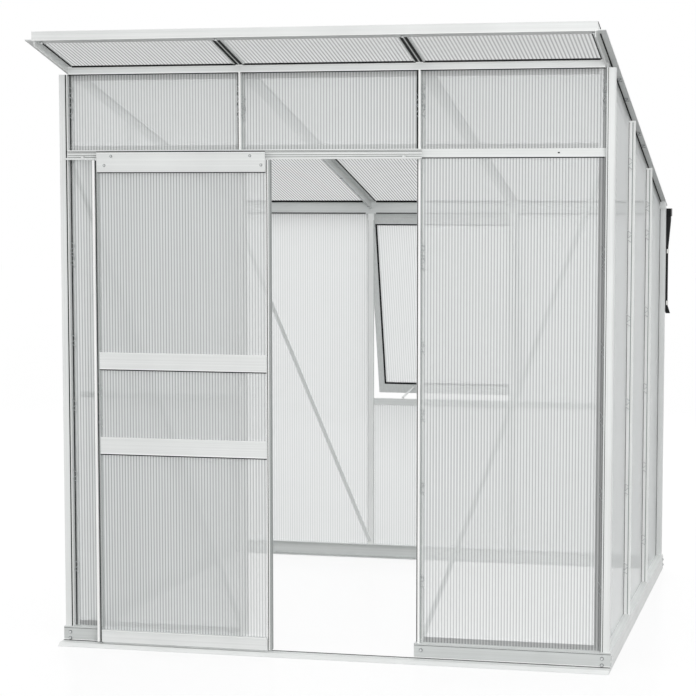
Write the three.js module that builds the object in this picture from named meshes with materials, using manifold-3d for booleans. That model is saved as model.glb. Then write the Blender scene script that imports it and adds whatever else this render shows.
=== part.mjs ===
// Free-standing pent-roof greenhouse of aluminium bars and twin-wall sheet.
// Millimetres, +Z up, the high front wall with the sliding door faces -Y.
// Walls are laid out with x = 0 at the middle, y = 0 at the front of the base and z = 0 at the
// ground. The whole group is then moved so that the origin is under the middle of its box.
import * as THREE from 'three';
import { mergeVertices } from 'three/addons/utils/BufferGeometryUtils.js';
import Module from 'manifold-3d';

const wasm = await Module();
wasm.setup();

// Driving dimensions of the house
const baseWidth = 1930;
const baseDepth = 1930;
const baseHeight = 61;
const roofSeatFront = 2015; // underside of the roof sheets above the front of the base
const roofSeatRear = 1555; // underside of the roof sheets above the rear of the base
const canopyReach = 281; // the roof's front edge, ahead of the base
const roofTail = 30; // the roof's rear edge, behind the base
const mullionSpread = 622; // middle bay, between the two mullions of a wall
const frontEaveDrop = 30; // from the roof's seat down to the front eave beam's underside
const rearEaveDrop = 47; // the same at the rear eave beam
const upperLightHeight = 259; // from the transom's top up to the front eave beam
const ventSillTop = 704;

// Fits
const fitGap = 0.3; // between touching pieces on sloping or turned faces
const sheetPlay = 1; // at a sheet's side edges
const cutOver = 2; // how far a cut or a joined block runs past a face

// Base rails
const railWall = 3;
const railLedge = 40;
const plateOverlap = 14; // how far a front plate runs past its mullion's middle into the doorway
const sillReach = 57;
const sillHeight = 12;
const sillLip = 2;
const sillSlope = 14;
const guideWidth = 6;
const guideFloor = 4;

// Corner posts, and the T-bars that serve as mullions and studs, set back from the base's face
const postInset = 5;
const postSize = 30;
const postWall = 2.5;
const postFin = 13;
const grooveWidth = 2;
const grooveDepth = 1.5;
const grooveEdge = 6; // from the post's inner edge to its groove
const topCut = 20; // a stud's nose and a rear post stop this far below the roof's seat
const sheetInset = 28;
const wallSheet = 4;
const barWall = 3;
const barNose = 7;
const barFlange = 27;

// Roof bars
const roofSheet = 6;
const roofUpstand = 24;
const edgeDrop = 19.5;
const edgeOuter = 25; // the edge beam's flange, outside its upstand
const edgeInner = 17; // the same flange, inside the upstand
const rafterFlange = 38;
const rafterDrop = 34;
const rafterFoot = 8;
const fasciaWall = 3;
const fasciaLip = 32; // under the sheets' front edges
const eaveWall = 2.5;

// Gutter, outlet and downpipe
const gutterDrop = 3; // gutter's underside, below the rear eave beam's
const gutterDepth = 25;
const gutterWidth = 55;
const gutterWall = 2;
const gutterEndGap = 25; // from the gutter's open end to the base's right face
const outletLength = 40;
const outletWall = 3;
const outletDrop = 5; // the outlet's floor below the gutter's
const outletRise = 3; // the outlet's rim above the gutter's
const spoutLength = 14;
const pipeFromGutter = 19; // pipe axis, past the gutter's open end
const pipeBehind = 18; // pipe axis behind the base
const funnelRadius = 20;
const funnelCollar = 17;
const funnelDrop = 142; // from the gutter's underside to the funnel's end
const pipeRadius = 9.5;
const pipeWall = 1.5;
const straightLength = 238; // of the downpipe between its funnel and elbow
const elbowDrop = 34;
const elbowReach = 11;
const clipHeight = 18;
const clipWall = 2;
const clipArm = 8;
const clipBelowFunnel = 1; // upper clip's top, below the funnel's end
const pipeSides = 16;

// Door track, rollers and plain transom
const trackHeight = 33;
const trackDepth = 21;
const trackPast = 9; // how far the track runs past the right mullion's middle
const trackKerb = 2;
const trackKerbHeight = 3;
const trackBrow = 5; // lip along the track's top
const trackBrowHeight = 7.5;
const trackBead = 1.5; // thin bead on the track's back plate
const trackBeadHeight = 11; // above the track's underside
const rollerRadius = 10;
const rollerWidth = 8;
const rollerPin = 3;
const rollerInset = 69; // from the door's edge
const rollerBehind = 7; // from the track's back plate to a roller
const rollerSides = 32;
const stopLength = 8;
const plainTransomHeight = 28;

// Sliding door
const doorOverlap = 5; // how far the closed door covers each mullion's middle
const doorDepth = 22.5;
const doorClear = 1.5; // between the door's back and the track's lip
const doorOpenGap = 105; // between the left post and the door, where it stands open
const doorLeftTravel = 100;
const doorBottom = 20;
const stileFace = 8;
const stileBody = 16;
const stileRecess = 9;
const stileTopGap = 2.5;
const hangerHeight = 67;
const hangerTopGap = 9; // from the transom's top down to the hanger's top
const bottomRailHeight = 42;
const midRailHeight = 58;
const lowerRailMiddle = 709;
const upperRailMiddle = 1003;
const midRailThick = 4;
const tongueThick = 3;
const tongueClear = 2; // above the guide's floor
const slotDepth = 10;

// Vent window
const sashOverlap = 17; // how far the sash covers each mullion's middle
const sashSillOverlap = 19; // how far the closed sash hangs below the sill rail's top
const sashTopRail = 32;
const sashBottomRail = 40;
const sashStile = 26;
const sashInside = 3; // sash frame ahead of the hinge axis
const sashOutside = 12; // and behind it
const sashAbove = 3;
const hingeBehind = 5; // hinge axis behind the bars' noses
const hingeDrop = 16; // hinge axis below the rear eave beam's underside
const hingePin = 3;
const pinLength = 7;
const earThick = 8;
const earFront = 5;
const earBack = 6;
const earBelow = 8;
const ventSillHeight = 27;
const ventLip = 9;
const stayX = -170;
const stayPegRadius = 3;
const stayPegHeight = 4;
const stayPegInset = 13;
const stayPin = 2.5;
const stayEye = 5;
const stayWidth = 10;
const stayThick = 2.5;
const stayBeyond = 12;
const stayClear = 3;
const lugThick = 3;
const lugReach = 12;
const lugHeight = 12;
const lugRise = 30; // lug axis above the sash's bottom edge
const hingeCover = 14; // how far the rear eave beam's outer face hangs over the gap above the sash
const smallSides = 16;

// Braces
const braceWidth = 16;
const braceThick = 2.5;
const braceFrontDrop = 25; // a front brace's top end, below the transom
const braceFrontLift = 7; // and its foot, above the base
const braceRearDrop = 18; // the rear brace's top end, below the rear eave beam
const braceRearLift = 14;
const braceFootPast = 15; // outer edge of a brace's foot, past its mullion's middle

// Angles and counts
const ventOpenDegrees = 14.4;
const sideBays = 3;

// Colours
const aluminiumColour = 0xdcdedd;
const sheetColour = 0xc9cdcc;
const blackColour = 0x202122;
const nylonColour = 0xe8e8e4;

// Places derived from the driving dimensions
const halfWidth = baseWidth / 2;
const barInner = sheetInset + wallSheet + barWall; // inner face of a bar's flange
const flangeOuter = sheetInset + wallSheet; // a sheet's inner face, where it meets the flange
const postOuterX = halfWidth - postInset;
const postInnerX = postOuterX - postSize;
const mullionX = mullionSpread / 2;
const frontEaveBottom = roofSeatFront - frontEaveDrop;
const rearEaveBottom = roofSeatRear - rearEaveDrop;
const transomTop = frontEaveBottom - upperLightHeight;
const transomBottom = transomTop - trackHeight;
const trackFront = postInset - trackDepth;
const rearFace = baseDepth - postInset;
const roofFront = -canopyReach + fasciaWall;
const roofRear = baseDepth + roofTail;
const fall = (roofSeatFront - roofSeatRear) / baseDepth;
const slant = Math.hypot(1, fall); // a thickness square to the roof, measured upright
const ventOpen = THREE.MathUtils.degToRad(ventOpenDegrees);
const webOuterX = postInnerX - fitGap; // an edge beam's lower web, beside the posts
const upstandX = postInnerX + barWall; // and its upstand, beside the roof sheets
const eaveEndX = webOuterX - barWall - fitGap;
const doorBack = trackFront - doorClear;
const doorFront = doorBack - doorDepth;
const doorSheetY = doorFront + stileRecess + barWall + fitGap;
const doorWidth = 2 * (mullionX + doorOverlap);
const doorOpenAt = doorOpenGap - postInnerX + doorWidth / 2; // the door's middle
const doorRollerX = doorWidth / 2 - rollerInset; // from the door's middle
const rollerZ = transomBottom + barWall + fitGap + rollerRadius;
const rollerBack = postInset - barWall - rollerBehind;
const hingeY = rearFace + hingeBehind;
const hingeHeight = rearEaveBottom - hingeDrop;
const sashHalf = mullionX + sashOverlap;
const sashDrop = hingeHeight - ventSillTop + sashSillOverlap;
const gutterFloor = rearEaveBottom - gutterDrop;
const gutterTop = gutterFloor + gutterDepth;
const gutterRightEnd = halfWidth - gutterEndGap;
const pipeX = gutterRightEnd + pipeFromGutter;
const pipeY = baseDepth + pipeBehind;
const funnelEnd = gutterFloor - funnelDrop;
const elbowTop = funnelEnd - straightLength;

const seatAt = (y) => roofSeatFront - fall * y;
const lift = (n) => n * slant;
const roofUnder = (y) => seatAt(y) - lift(barWall) - fitGap;

const aluminium = new THREE.MeshStandardMaterial({ color: aluminiumColour, roughness: 0.45, metalness: 0.7 });
const sheet = new THREE.MeshStandardMaterial({ color: sheetColour, roughness: 0.3, metalness: 0 });
const blackPlastic = new THREE.MeshStandardMaterial({ color: blackColour, roughness: 0.5, metalness: 0 });
const nylon = new THREE.MeshStandardMaterial({ color: nylonColour, roughness: 0.5, metalness: 0 });

// Solids: an outline is extruded by one unit, then place(a, b, t) sends each vertex to x, y, z.
function toSolid(geometry) {
  geometry.deleteAttribute('normal');
  geometry.deleteAttribute('uv');
  const merged = mergeVertices(geometry);
  const points = merged.attributes.position.array;
  const faces = merged.index.array;
  return { points, faces };
}

function signedVolume(points, faces) {
  const [a, b, c] = [new THREE.Vector3(), new THREE.Vector3(), new THREE.Vector3()];
  let sum = 0;
  for (let i = 0; i < faces.length; i += 3) {
    a.fromArray(points, faces[i] * 3);
    b.fromArray(points, faces[i + 1] * 3);
    c.fromArray(points, faces[i + 2] * 3);
    sum += a.dot(b.cross(c));
  }
  return sum;
}

function manifoldOf(points, faces) {
  const triVerts = new Uint32Array(faces);
  if (signedVolume(points, triVerts) < 0) {
    for (let i = 0; i < triVerts.length; i += 3) {
      [triVerts[i], triVerts[i + 1]] = [triVerts[i + 1], triVerts[i]];
    }
  }
  const vertProperties = new Float32Array(points);
  return new wasm.Manifold(new wasm.Mesh({ numProp: 3, vertProperties, triVerts }));
}

function prism(outline, holes, place) {
  const path = (points, clockwise) => {
    const turns = points.map(([a, b]) => new THREE.Vector2(a, b));
    return THREE.ShapeUtils.isClockWise(turns) === clockwise ? turns : turns.reverse();
  };
  const shape = new THREE.Shape(path(outline, false));
  for (const hole of holes) shape.holes.push(new THREE.Path(path(hole, true)));
  const { points, faces } = toSolid(new THREE.ExtrudeGeometry(shape, { depth: 1, bevelEnabled: false }));
  for (let i = 0; i < points.length; i += 3) {
    const [a, b, t] = [points[i], points[i + 1], points[i + 2]];
    points.set(place(a, b, t), i);
  }
  return manifoldOf(points, faces);
}

const mix = (from, to, t) => (t < 0.5 ? from : to);
const alongX = (outline, x0, x1, holes = []) => prism(outline, holes, (y, z, t) => [mix(x0, x1, t), y, z]);
const alongY = (outline, y0, y1, holes = []) => prism(outline, holes, (x, z, t) => [x, mix(y0, y1, t), z]);
const upright = (outline, z0, topAt, holes = []) =>
  prism(outline, holes, (x, y, t) => [x, y, mix(z0, topAt(y), t)]);
// A bar along the roof: its outline is x and the height above the roof seat, square to the slope.
const downSlope = (outline, y0, y1) =>
  prism(outline, [], (x, n, t) => [x, mix(y0, y1, t), seatAt(mix(y0, y1, t)) + lift(n)]);

const rect = (a0, a1, b0, b1) => [[a0, b0], [a1, b0], [a1, b1], [a0, b1]];
const box = (x0, x1, y0, y1, z0, z1) => alongX(rect(y0, y1, z0, z1), x0, x1);
const level = (z) => () => z;
const join = (first, ...others) => others.reduce((sum, solid) => sum.add(solid), first);
const cut = (first, ...others) => others.reduce((rest, solid) => rest.subtract(solid), first);

function ring(centreA, centreB, radius, count) {
  return Array.from({ length: count }, (_, i) => {
    const angle = (2 * Math.PI * (i + 0.5)) / count;
    return [centreA + radius * Math.cos(angle), centreB + radius * Math.sin(angle)];
  });
}

// A round bar or pipe through level rings: each station is x, y, z and a radius.
function loft(stations, count) {
  const points = [];
  const faces = [];
  for (const [x, y, z, radius] of stations) {
    for (const [px, py] of ring(x, y, radius, count)) points.push(px, py, z);
  }
  for (let s = 0; s + 1 < stations.length; s += 1) {
    for (let i = 0; i < count; i += 1) {
      const [a, b] = [s * count + i, s * count + ((i + 1) % count)];
      faces.push(a, b, a + count, b, b + count, a + count);
    }
  }
  const last = (stations.length - 1) * count;
  for (let i = 1; i + 1 < count; i += 1) {
    faces.push(0, i + 1, i);
    faces.push(last, last + i, last + i + 1);
  }
  return manifoldOf(points, faces);
}

const greenhouse = new THREE.Group();

function addPiece(name, solid, material, parent = greenhouse) {
  const { vertProperties, triVerts } = solid.getMesh();
  const geometry = new THREE.BufferGeometry();
  geometry.setAttribute('position', new THREE.BufferAttribute(new Float32Array(vertProperties), 3));
  geometry.setIndex(new THREE.BufferAttribute(new Uint32Array(triVerts), 1));
  geometry.computeVertexNormals();
  const mesh = new THREE.Mesh(geometry, material);
  mesh.name = name;
  parent.add(mesh);
}

const sides = { left: -1, right: 1 };

// Base: a sill under the front wall, and a C-section rail under each other wall
function makeFrontBase() {
  const guideY = doorSheetY + wallSheet / 2;
  const front = [
    [-sillReach, 0], [railWall, 0], [railWall, sillHeight],
    [guideY + guideWidth / 2, sillHeight], [guideY + guideWidth / 2, guideFloor],
    [guideY - guideWidth / 2, guideFloor], [guideY - guideWidth / 2, sillHeight],
    [-sillReach + sillSlope, sillHeight], [-sillReach, sillLip],
  ];
  const innerX = halfWidth - railLedge - fitGap;
  const solids = [
    alongX(front, -halfWidth, halfWidth),
    box(-innerX, innerX, 0, railLedge, 0, railWall),
  ];
  for (const side of Object.values(sides)) {
    const doorwayX = side * (mullionX - plateOverlap);
    solids.push(box(doorwayX, side * halfWidth, 0, railWall, sillHeight - cutOver, baseHeight));
    solids.push(box(doorwayX, side * innerX, 0, railLedge, baseHeight - railWall, baseHeight));
  }
  addPiece('front_sill', join(...solids), aluminium);
}

function makeSideRail(side, name) {
  const outer = side * halfWidth;
  const web = outer - side * railWall;
  const inner = outer - side * railLedge;
  const section = [
    [outer, 0], [outer, baseHeight], [inner, baseHeight], [inner, baseHeight - railWall],
    [web, baseHeight - railWall], [web, railWall], [inner, railWall], [inner, 0],
  ];
  addPiece(`base_rail_${name}`, alongY(section, railWall, baseDepth - railWall), aluminium);
}

function makeRearRail() {
  const inner = baseDepth - railLedge;
  const innerX = halfWidth - railLedge - fitGap;
  addPiece('base_rail_rear', join(
    box(-halfWidth, halfWidth, baseDepth - railWall, baseDepth, 0, baseHeight),
    box(-innerX, innerX, inner, baseDepth, baseHeight - railWall, baseHeight),
    box(-innerX, innerX, inner, baseDepth, 0, railWall),
  ), aluminium);
}

// Uprights. u and v run inwards from the base's outer faces.
const fromFront = (v) => v;
const fromRear = (v) => baseDepth - v;

function makeCornerPost(side, sideName, toY, endName) {
  const x = (u) => side * (halfWidth - u);
  const inner = postInset + postSize;
  const tip = inner + postFin;
  const groove = inner - grooveEdge;
  const outline = [
    [postInset, postInset], [groove - grooveWidth, postInset],
    [groove - grooveWidth, postInset + grooveDepth], [groove, postInset + grooveDepth],
    [groove, postInset], [inner, postInset], [inner, flangeOuter], [tip, flangeOuter],
    [tip, barInner], [barInner, barInner], [barInner, tip], [flangeOuter, tip],
    [flangeOuter, inner], [postInset, inner],
  ].map(([u, v]) => [x(u), toY(v)]);
  const hollow = rect(postInset + postWall, inner - postWall, postInset + postWall, inner - postWall);
  const post = upright(outline, baseHeight, roofUnder, [hollow.map(([u, v]) => [x(u), toY(v)])]);
  const [eaveBottom, bodyTop] = toY === fromFront
    ? [frontEaveBottom, frontEaveBottom]
    : [rearEaveBottom, seatAt(rearFace) - topCut];
  const eaveCut = box(x(inner), x(tip + cutOver), toY(0), toY(barInner + cutOver), eaveBottom, roofSeatFront);
  const bodyCut = box(x(0), x(inner), toY(0), toY(flangeOuter), bodyTop, roofSeatFront);
  const sideCut = box(x(0), x(flangeOuter), toY(0), toY(inner + cutOver), bodyTop, roofSeatFront);
  addPiece(`corner_post_${endName}_${sideName}`, cut(post, eaveCut, bodyCut, sideCut), aluminium);
}

// A T-bar's outline: a runs along the wall, v inwards from the base's outer face.
function barOutline() {
  const [nose, web, flange] = [barNose / 2, barWall / 2, barFlange / 2];
  const noseBack = postInset + barWall;
  return [
    [-nose, postInset], [nose, postInset], [nose, noseBack], [web, noseBack],
    [web, flangeOuter], [flange, flangeOuter], [flange, barInner], [-flange, barInner],
    [-flange, flangeOuter], [-web, flangeOuter], [-web, noseBack], [-nose, noseBack],
  ];
}

function makeMullion(side, sideName, toY, endName, top) {
  const outline = barOutline().map(([a, v]) => [side * mullionX + a, toY(v)]);
  addPiece(`mullion_${endName}_${sideName}`, upright(outline, baseHeight, level(top)), aluminium);
}

const studY = (bay) => (baseDepth * bay) / sideBays;

function makeStud(side, sideName, bay) {
  const outline = barOutline().map(([a, v]) => [side * (halfWidth - v), studY(bay) + a]);
  const noseTop = seatAt(studY(bay)) - topCut;
  const noseCut = box(side * (halfWidth - flangeOuter), side * halfWidth,
    studY(bay) - barNose, studY(bay) + barNose, noseTop, roofSeatFront);
  addPiece(`side_stud_${sideName}_${bay}`,
    cut(upright(outline, baseHeight, roofUnder), noseCut), aluminium);
}

// Top frame
function eaveSection(toY, bottom) {
  const [outer, inner] = [toY(postInset), toY(barInner)];
  const [holeOuter, holeInner] = [toY(postInset + eaveWall), toY(barInner - eaveWall)];
  const body = [[outer, bottom], [inner, bottom], [inner, roofUnder(inner)], [outer, roofUnder(outer)]];
  const hollow = [
    [holeOuter, bottom + eaveWall], [holeInner, bottom + eaveWall],
    [holeInner, roofUnder(holeInner) - lift(eaveWall)], [holeOuter, roofUnder(holeOuter) - lift(eaveWall)],
  ];
  return alongX(body, -eaveEndX, eaveEndX, [hollow]);
}

function makeRearEave() {
  const gutterBack = rearFace + gutterWidth;
  const channel = [
    [rearFace, gutterFloor], [gutterBack, gutterFloor], [gutterBack, gutterTop],
    [gutterBack - gutterWall, gutterTop], [gutterBack - gutterWall, gutterFloor + gutterWall],
    [rearFace + gutterWall, gutterFloor + gutterWall], [rearFace + gutterWall, gutterTop],
    [rearFace, gutterTop],
  ];
  const solids = [
    eaveSection(fromRear, rearEaveBottom),
    alongX(channel, -postOuterX, gutterRightEnd),
    box(-postOuterX, -postOuterX + gutterWall, rearFace, gutterBack, gutterFloor, gutterTop),
    box(-eaveEndX, eaveEndX, rearFace - eaveWall / 2, rearFace + gutterWall / 2, rearEaveBottom, gutterTop),
  ];
  const coverX = mullionX - barNose / 2 - fitGap;
  solids.push(box(-coverX, coverX, rearFace - eaveWall, rearFace,
    rearEaveBottom - hingeCover, rearEaveBottom + eaveWall / 2));
  const earX = sashHalf + fitGap;
  for (const side of Object.values(sides)) {
    solids.push(box(side * earX, side * (earX + earThick), hingeY - earFront, hingeY + earBack,
      hingeHeight - earBelow, gutterFloor + gutterWall / 2));
  }
  const bore = alongX(ring(hingeY, hingeHeight, hingePin + fitGap, smallSides), -halfWidth, halfWidth);
  addPiece('eave_beam_rear', cut(join(...solids), bore), aluminium);
}

function makeEdgeBeam(side, name) {
  const flange = rect(side * (upstandX - edgeInner), side * (upstandX + barWall + edgeOuter), -barWall, 0);
  const above = rect(side * upstandX, side * (upstandX + barWall), -barWall / 2, roofUpstand);
  const below = rect(side * (webOuterX - barWall), side * webOuterX, -edgeDrop, -barWall / 2);
  addPiece(`roof_edge_beam_${name}`, join(
    downSlope(flange, roofFront, roofRear),
    downSlope(above, roofFront, roofRear),
    downSlope(below, roofFront, rearFace),
  ), aluminium);
}

function makeRafter(side, name) {
  const x = side * mullionX;
  const web = barWall / 2;
  const seat = rect(x - rafterFlange / 2, x + rafterFlange / 2, -barWall, 0);
  const above = rect(x - web, x + web, -barWall / 2, roofUpstand);
  const overLip = rect(x - web, x + web, fitGap, roofUpstand);
  const lipEnd = roofFront + fasciaLip + fitGap;
  const below = [
    [x - web, -barWall / 2], [x - web, barWall - rafterDrop], [x - rafterFoot / 2, barWall - rafterDrop],
    [x - rafterFoot / 2, -rafterDrop], [x + rafterFoot / 2, -rafterDrop],
    [x + rafterFoot / 2, barWall - rafterDrop], [x + web, barWall - rafterDrop], [x + web, -barWall / 2],
  ];
  addPiece(`rafter_${name}`, join(
    downSlope(seat, lipEnd, roofRear),
    downSlope(above, lipEnd, roofRear),
    downSlope(overLip, roofFront, lipEnd + cutOver),
    downSlope(below, barInner + fitGap, baseDepth - barInner - fitGap),
  ), aluminium);
}

// The clear strips between the roof bars' upstands, as x from and to
function roofBays() {
  const nearBar = mullionX - barWall / 2 - sheetPlay;
  const pastBar = mullionX + barWall / 2 + sheetPlay;
  const edge = upstandX - sheetPlay;
  return { left: [-edge, -pastBar], middle: [-nearBar, nearBar], right: [pastBar, edge] };
}

function makeFascia() {
  const faceX = upstandX + barWall;
  const face = [
    [-canopyReach, seatAt(-canopyReach) - lift(barWall)], [roofFront, seatAt(roofFront) - lift(barWall)],
    [roofFront, seatAt(roofFront) + lift(roofUpstand)],
    [-canopyReach, seatAt(-canopyReach) + lift(roofUpstand)],
  ];
  const lipX = upstandX - edgeInner - fitGap;
  const lip = downSlope(rect(-lipX, lipX, -barWall, 0), roofFront - fasciaWall / 2, roofFront + fasciaLip);
  addPiece('roof_fascia', join(alongX(face, -faceX, faceX), lip), aluminium);
}

// Door track: a rail with a kerb for the rollers, and behind it a rib that the upper sheets stand on
function makeTrack() {
  const back = postInset - barWall;
  const trackEnd = mullionX + trackPast;
  const beadBottom = transomBottom + trackBeadHeight;
  const ribBottom = transomTop - barWall - cutOver;
  const outline = [
    [trackFront, transomBottom], [postInset, transomBottom], [postInset, transomTop - barWall],
    [flangeOuter, transomTop - barWall], [flangeOuter, transomTop], [back - trackBrow, transomTop],
    [back - trackBrow, transomTop - trackBrowHeight], [back, transomTop - trackBrowHeight],
    [back, beadBottom + trackBead], [back - trackBead, beadBottom + trackBead],
    [back - trackBead, beadBottom], [back, beadBottom], [back, transomBottom + barWall],
    [trackFront + trackKerb, transomBottom + barWall],
    [trackFront + trackKerb, transomBottom + barWall + trackKerbHeight],
    [trackFront, transomBottom + barWall + trackKerbHeight],
  ];
  const solids = [alongX(outline, fitGap - postInnerX, trackEnd)];
  const closedStop = doorRollerX + rollerRadius + fitGap; // the door's middle comes to x = 0
  const openStop = doorOpenAt - doorLeftTravel - doorRollerX - rollerRadius - fitGap;
  for (const [x0, x1] of [[closedStop, closedStop + stopLength], [openStop - stopLength, openStop]]) {
    solids.push(box(x0, x1, trackFront, back + barWall / 2, transomBottom + barWall / 2, rollerZ));
  }
  const noseHalf = barNose / 2 + fitGap;
  const notch = (x0, x1) => box(x0, x1, postInset, flangeOuter + cutOver, ribBottom, transomTop + cutOver);
  const leftNotch = notch(-mullionX - noseHalf, noseHalf - mullionX);
  const rightNotch = notch(mullionX - noseHalf, trackEnd + cutOver);
  addPiece('door_track', cut(join(...solids), leftNotch, rightNotch), aluminium);
}

function makePlainTransom() {
  const bottom = transomTop - plainTransomHeight;
  const middle = (transomTop + bottom) / 2;
  const outline = [
    [sheetInset - barWall, bottom], [sheetInset, bottom], [sheetInset, middle - barWall / 2],
    [flangeOuter, middle - barWall / 2], [flangeOuter, middle + barWall / 2],
    [sheetInset, middle + barWall / 2], [sheetInset, transomTop], [sheetInset - barWall, transomTop],
  ];
  addPiece('transom_right', alongX(outline, mullionX + barWall / 2 + fitGap, postInnerX - fitGap), aluminium);
  return middle;
}

// Braces: flat bars on the inner faces of the flanges, from a corner post down to a mullion's foot
function makeBrace(name, side, topZ, bottomZ, y0, y1) {
  const topX = side * (postInnerX - fitGap);
  const footX = side * (mullionX + braceFootPast);
  const along = new THREE.Vector2(footX - topX, bottomZ - topZ).normalize();
  const across = (side * braceWidth) / Math.abs(along.y);
  const outline = [[topX - across, topZ], [topX, topZ], [footX, bottomZ], [footX - across, bottomZ]];
  addPiece(`brace_${name}`, alongY(outline, y0, y1), aluminium);
}

// Wall sheets between the bars' webs
const sheetEdges = {
  left: [-postInnerX + sheetPlay, -mullionX - barWall / 2 - sheetPlay],
  middle: [-mullionX + barWall / 2 + sheetPlay, mullionX - barWall / 2 - sheetPlay],
  right: [mullionX + barWall / 2 + sheetPlay, postInnerX - sheetPlay],
};

function makeFrontSheets(plainMiddle) {
  const y = [sheetInset, flangeOuter];
  const ribBottom = transomTop - barWall;
  for (const [bay, [x0, x1]] of Object.entries(sheetEdges)) {
    const seat = bay === 'right' ? plainMiddle + barWall / 2 : transomTop;
    addPiece(`sheet_front_upper_${bay}`, box(x0, x1, ...y, seat + fitGap, frontEaveBottom - fitGap), sheet);
  }
  const tops = { left: ribBottom, right: plainMiddle - barWall / 2 };
  for (const [bay, top] of Object.entries(tops)) {
    const [x0, x1] = sheetEdges[bay];
    addPiece(`sheet_front_lower_${bay}`, box(x0, x1, ...y, baseHeight, top - fitGap), sheet);
  }
}

function makeRearSheets() {
  const y = [baseDepth - flangeOuter, baseDepth - sheetInset];
  for (const [bay, [x0, x1]] of Object.entries(sheetEdges)) {
    const top = bay === 'middle' ? ventSillTop - ventSillHeight : rearEaveBottom;
    addPiece(`sheet_rear_${bay}`, box(x0, x1, ...y, baseHeight, top - fitGap), sheet);
  }
}

function makeSideSheets(side, sideName) {
  const x = [side * (halfWidth - flangeOuter), side * (halfWidth - sheetInset)];
  for (let bay = 0; bay < sideBays; bay += 1) {
    const y0 = bay === 0 ? postInset + postSize + sheetPlay : studY(bay) + barWall / 2 + sheetPlay;
    const nextBar = bay === sideBays - 1 ? rearFace - postSize : studY(bay + 1) - barWall / 2;
    const outline = rect(...x, y0, nextBar - sheetPlay);
    addPiece(`sheet_side_${sideName}_${bay + 1}`, upright(outline, baseHeight, roofUnder), sheet);
  }
}

function makeRoofSheets() {
  for (const [bay, [x0, x1]] of Object.entries(roofBays())) {
    const outline = rect(x0, x1, fitGap, fitGap + roofSheet);
    addPiece(`sheet_roof_${bay}`, downSlope(outline, roofFront + fitGap, roofRear - sheetPlay), sheet);
  }
}

// Door, standing open to the left of the doorway
function makeDoor() {
  const left = doorOpenAt - doorWidth / 2;
  const right = doorOpenAt + doorWidth / 2;
  const slot = [doorSheetY - fitGap, doorSheetY + wallSheet + fitGap];
  const bodyFront = doorFront + stileRecess;
  const stileTop = transomBottom - stileTopGap;
  for (const [name, edge, inward] of [['left', left, 1], ['right', right, -1]]) {
    const outline = [
      [0, doorFront], [stileFace, doorFront], [stileFace, bodyFront], [stileBody, bodyFront],
      [stileBody, slot[0]], [stileBody - slotDepth + barWall, slot[0]],
      [stileBody - slotDepth + barWall, slot[1]], [stileBody, slot[1]], [stileBody, doorBack],
      [0, doorBack],
    ].map(([a, y]) => [edge + inward * a, y]);
    addPiece(`door_stile_${name}`, upright(outline, doorBottom, level(stileTop)), aluminium);
  }
  const [innerLeft, innerRight] = [left + stileBody + fitGap, right - stileBody - fitGap];
  const hangerTop = transomTop - hangerTopGap;
  const hangerBottom = hangerTop - hangerHeight;
  const plateBack = doorFront + barWall;
  const hanger = [
    [doorFront, hangerBottom], [slot[0], hangerBottom], [slot[0], hangerBottom + slotDepth],
    [slot[1], hangerBottom + slotDepth], [slot[1], hangerBottom], [doorBack, hangerBottom],
    [doorBack, stileTop], [plateBack, stileTop], [plateBack, hangerTop - barWall],
    [doorBack, hangerTop - barWall], [doorBack, hangerTop], [doorFront, hangerTop],
  ];
  const pins = Object.values(sides).map((side) => alongY(
    ring(doorOpenAt + side * doorRollerX, rollerZ, rollerPin, smallSides),
    doorFront + barWall / 2, rollerBack + fitGap,
  ));
  addPiece('door_hanger_rail', join(alongX(hanger, innerLeft, innerRight), ...pins), aluminium);

  const railTop = doorBottom + bottomRailHeight;
  const tongueY = doorSheetY + wallSheet / 2;
  const tongueBottom = guideFloor + tongueClear;
  const bottomRail = [
    [doorFront, doorBottom], [tongueY - tongueThick / 2, doorBottom],
    [tongueY - tongueThick / 2, tongueBottom], [tongueY + tongueThick / 2, tongueBottom],
    [tongueY + tongueThick / 2, doorBottom], [doorBack, doorBottom], [doorBack, railTop],
    [slot[1], railTop], [slot[1], railTop - slotDepth], [slot[0], railTop - slotDepth],
    [slot[0], railTop], [doorFront, railTop],
  ];
  addPiece('door_bottom_rail', alongX(bottomRail, innerLeft, innerRight), aluminium);
  for (const [name, middle] of [['lower', lowerRailMiddle], ['upper', upperRailMiddle]]) {
    const face = [slot[0] - midRailThick, slot[0]];
    addPiece(`door_mid_rail_${name}`, box(innerLeft, innerRight, ...face,
      middle - midRailHeight / 2, middle + midRailHeight / 2), aluminium);
  }
  const sheetIn = stileBody - slotDepth + barWall + sheetPlay;
  addPiece('door_sheet', box(left + sheetIn, right - sheetIn, doorSheetY, doorSheetY + wallSheet,
    railTop - slotDepth + fitGap, hangerBottom + slotDepth - fitGap), sheet);
  for (const [name, side] of Object.entries(sides)) {
    const x = doorOpenAt + side * doorRollerX;
    addPiece(`door_roller_${name}`, alongY(ring(x, rollerZ, rollerRadius, rollerSides),
      rollerBack - rollerWidth, rollerBack, [ring(x, rollerZ, rollerPin + fitGap, smallSides)]), nylon);
  }
}

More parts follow.
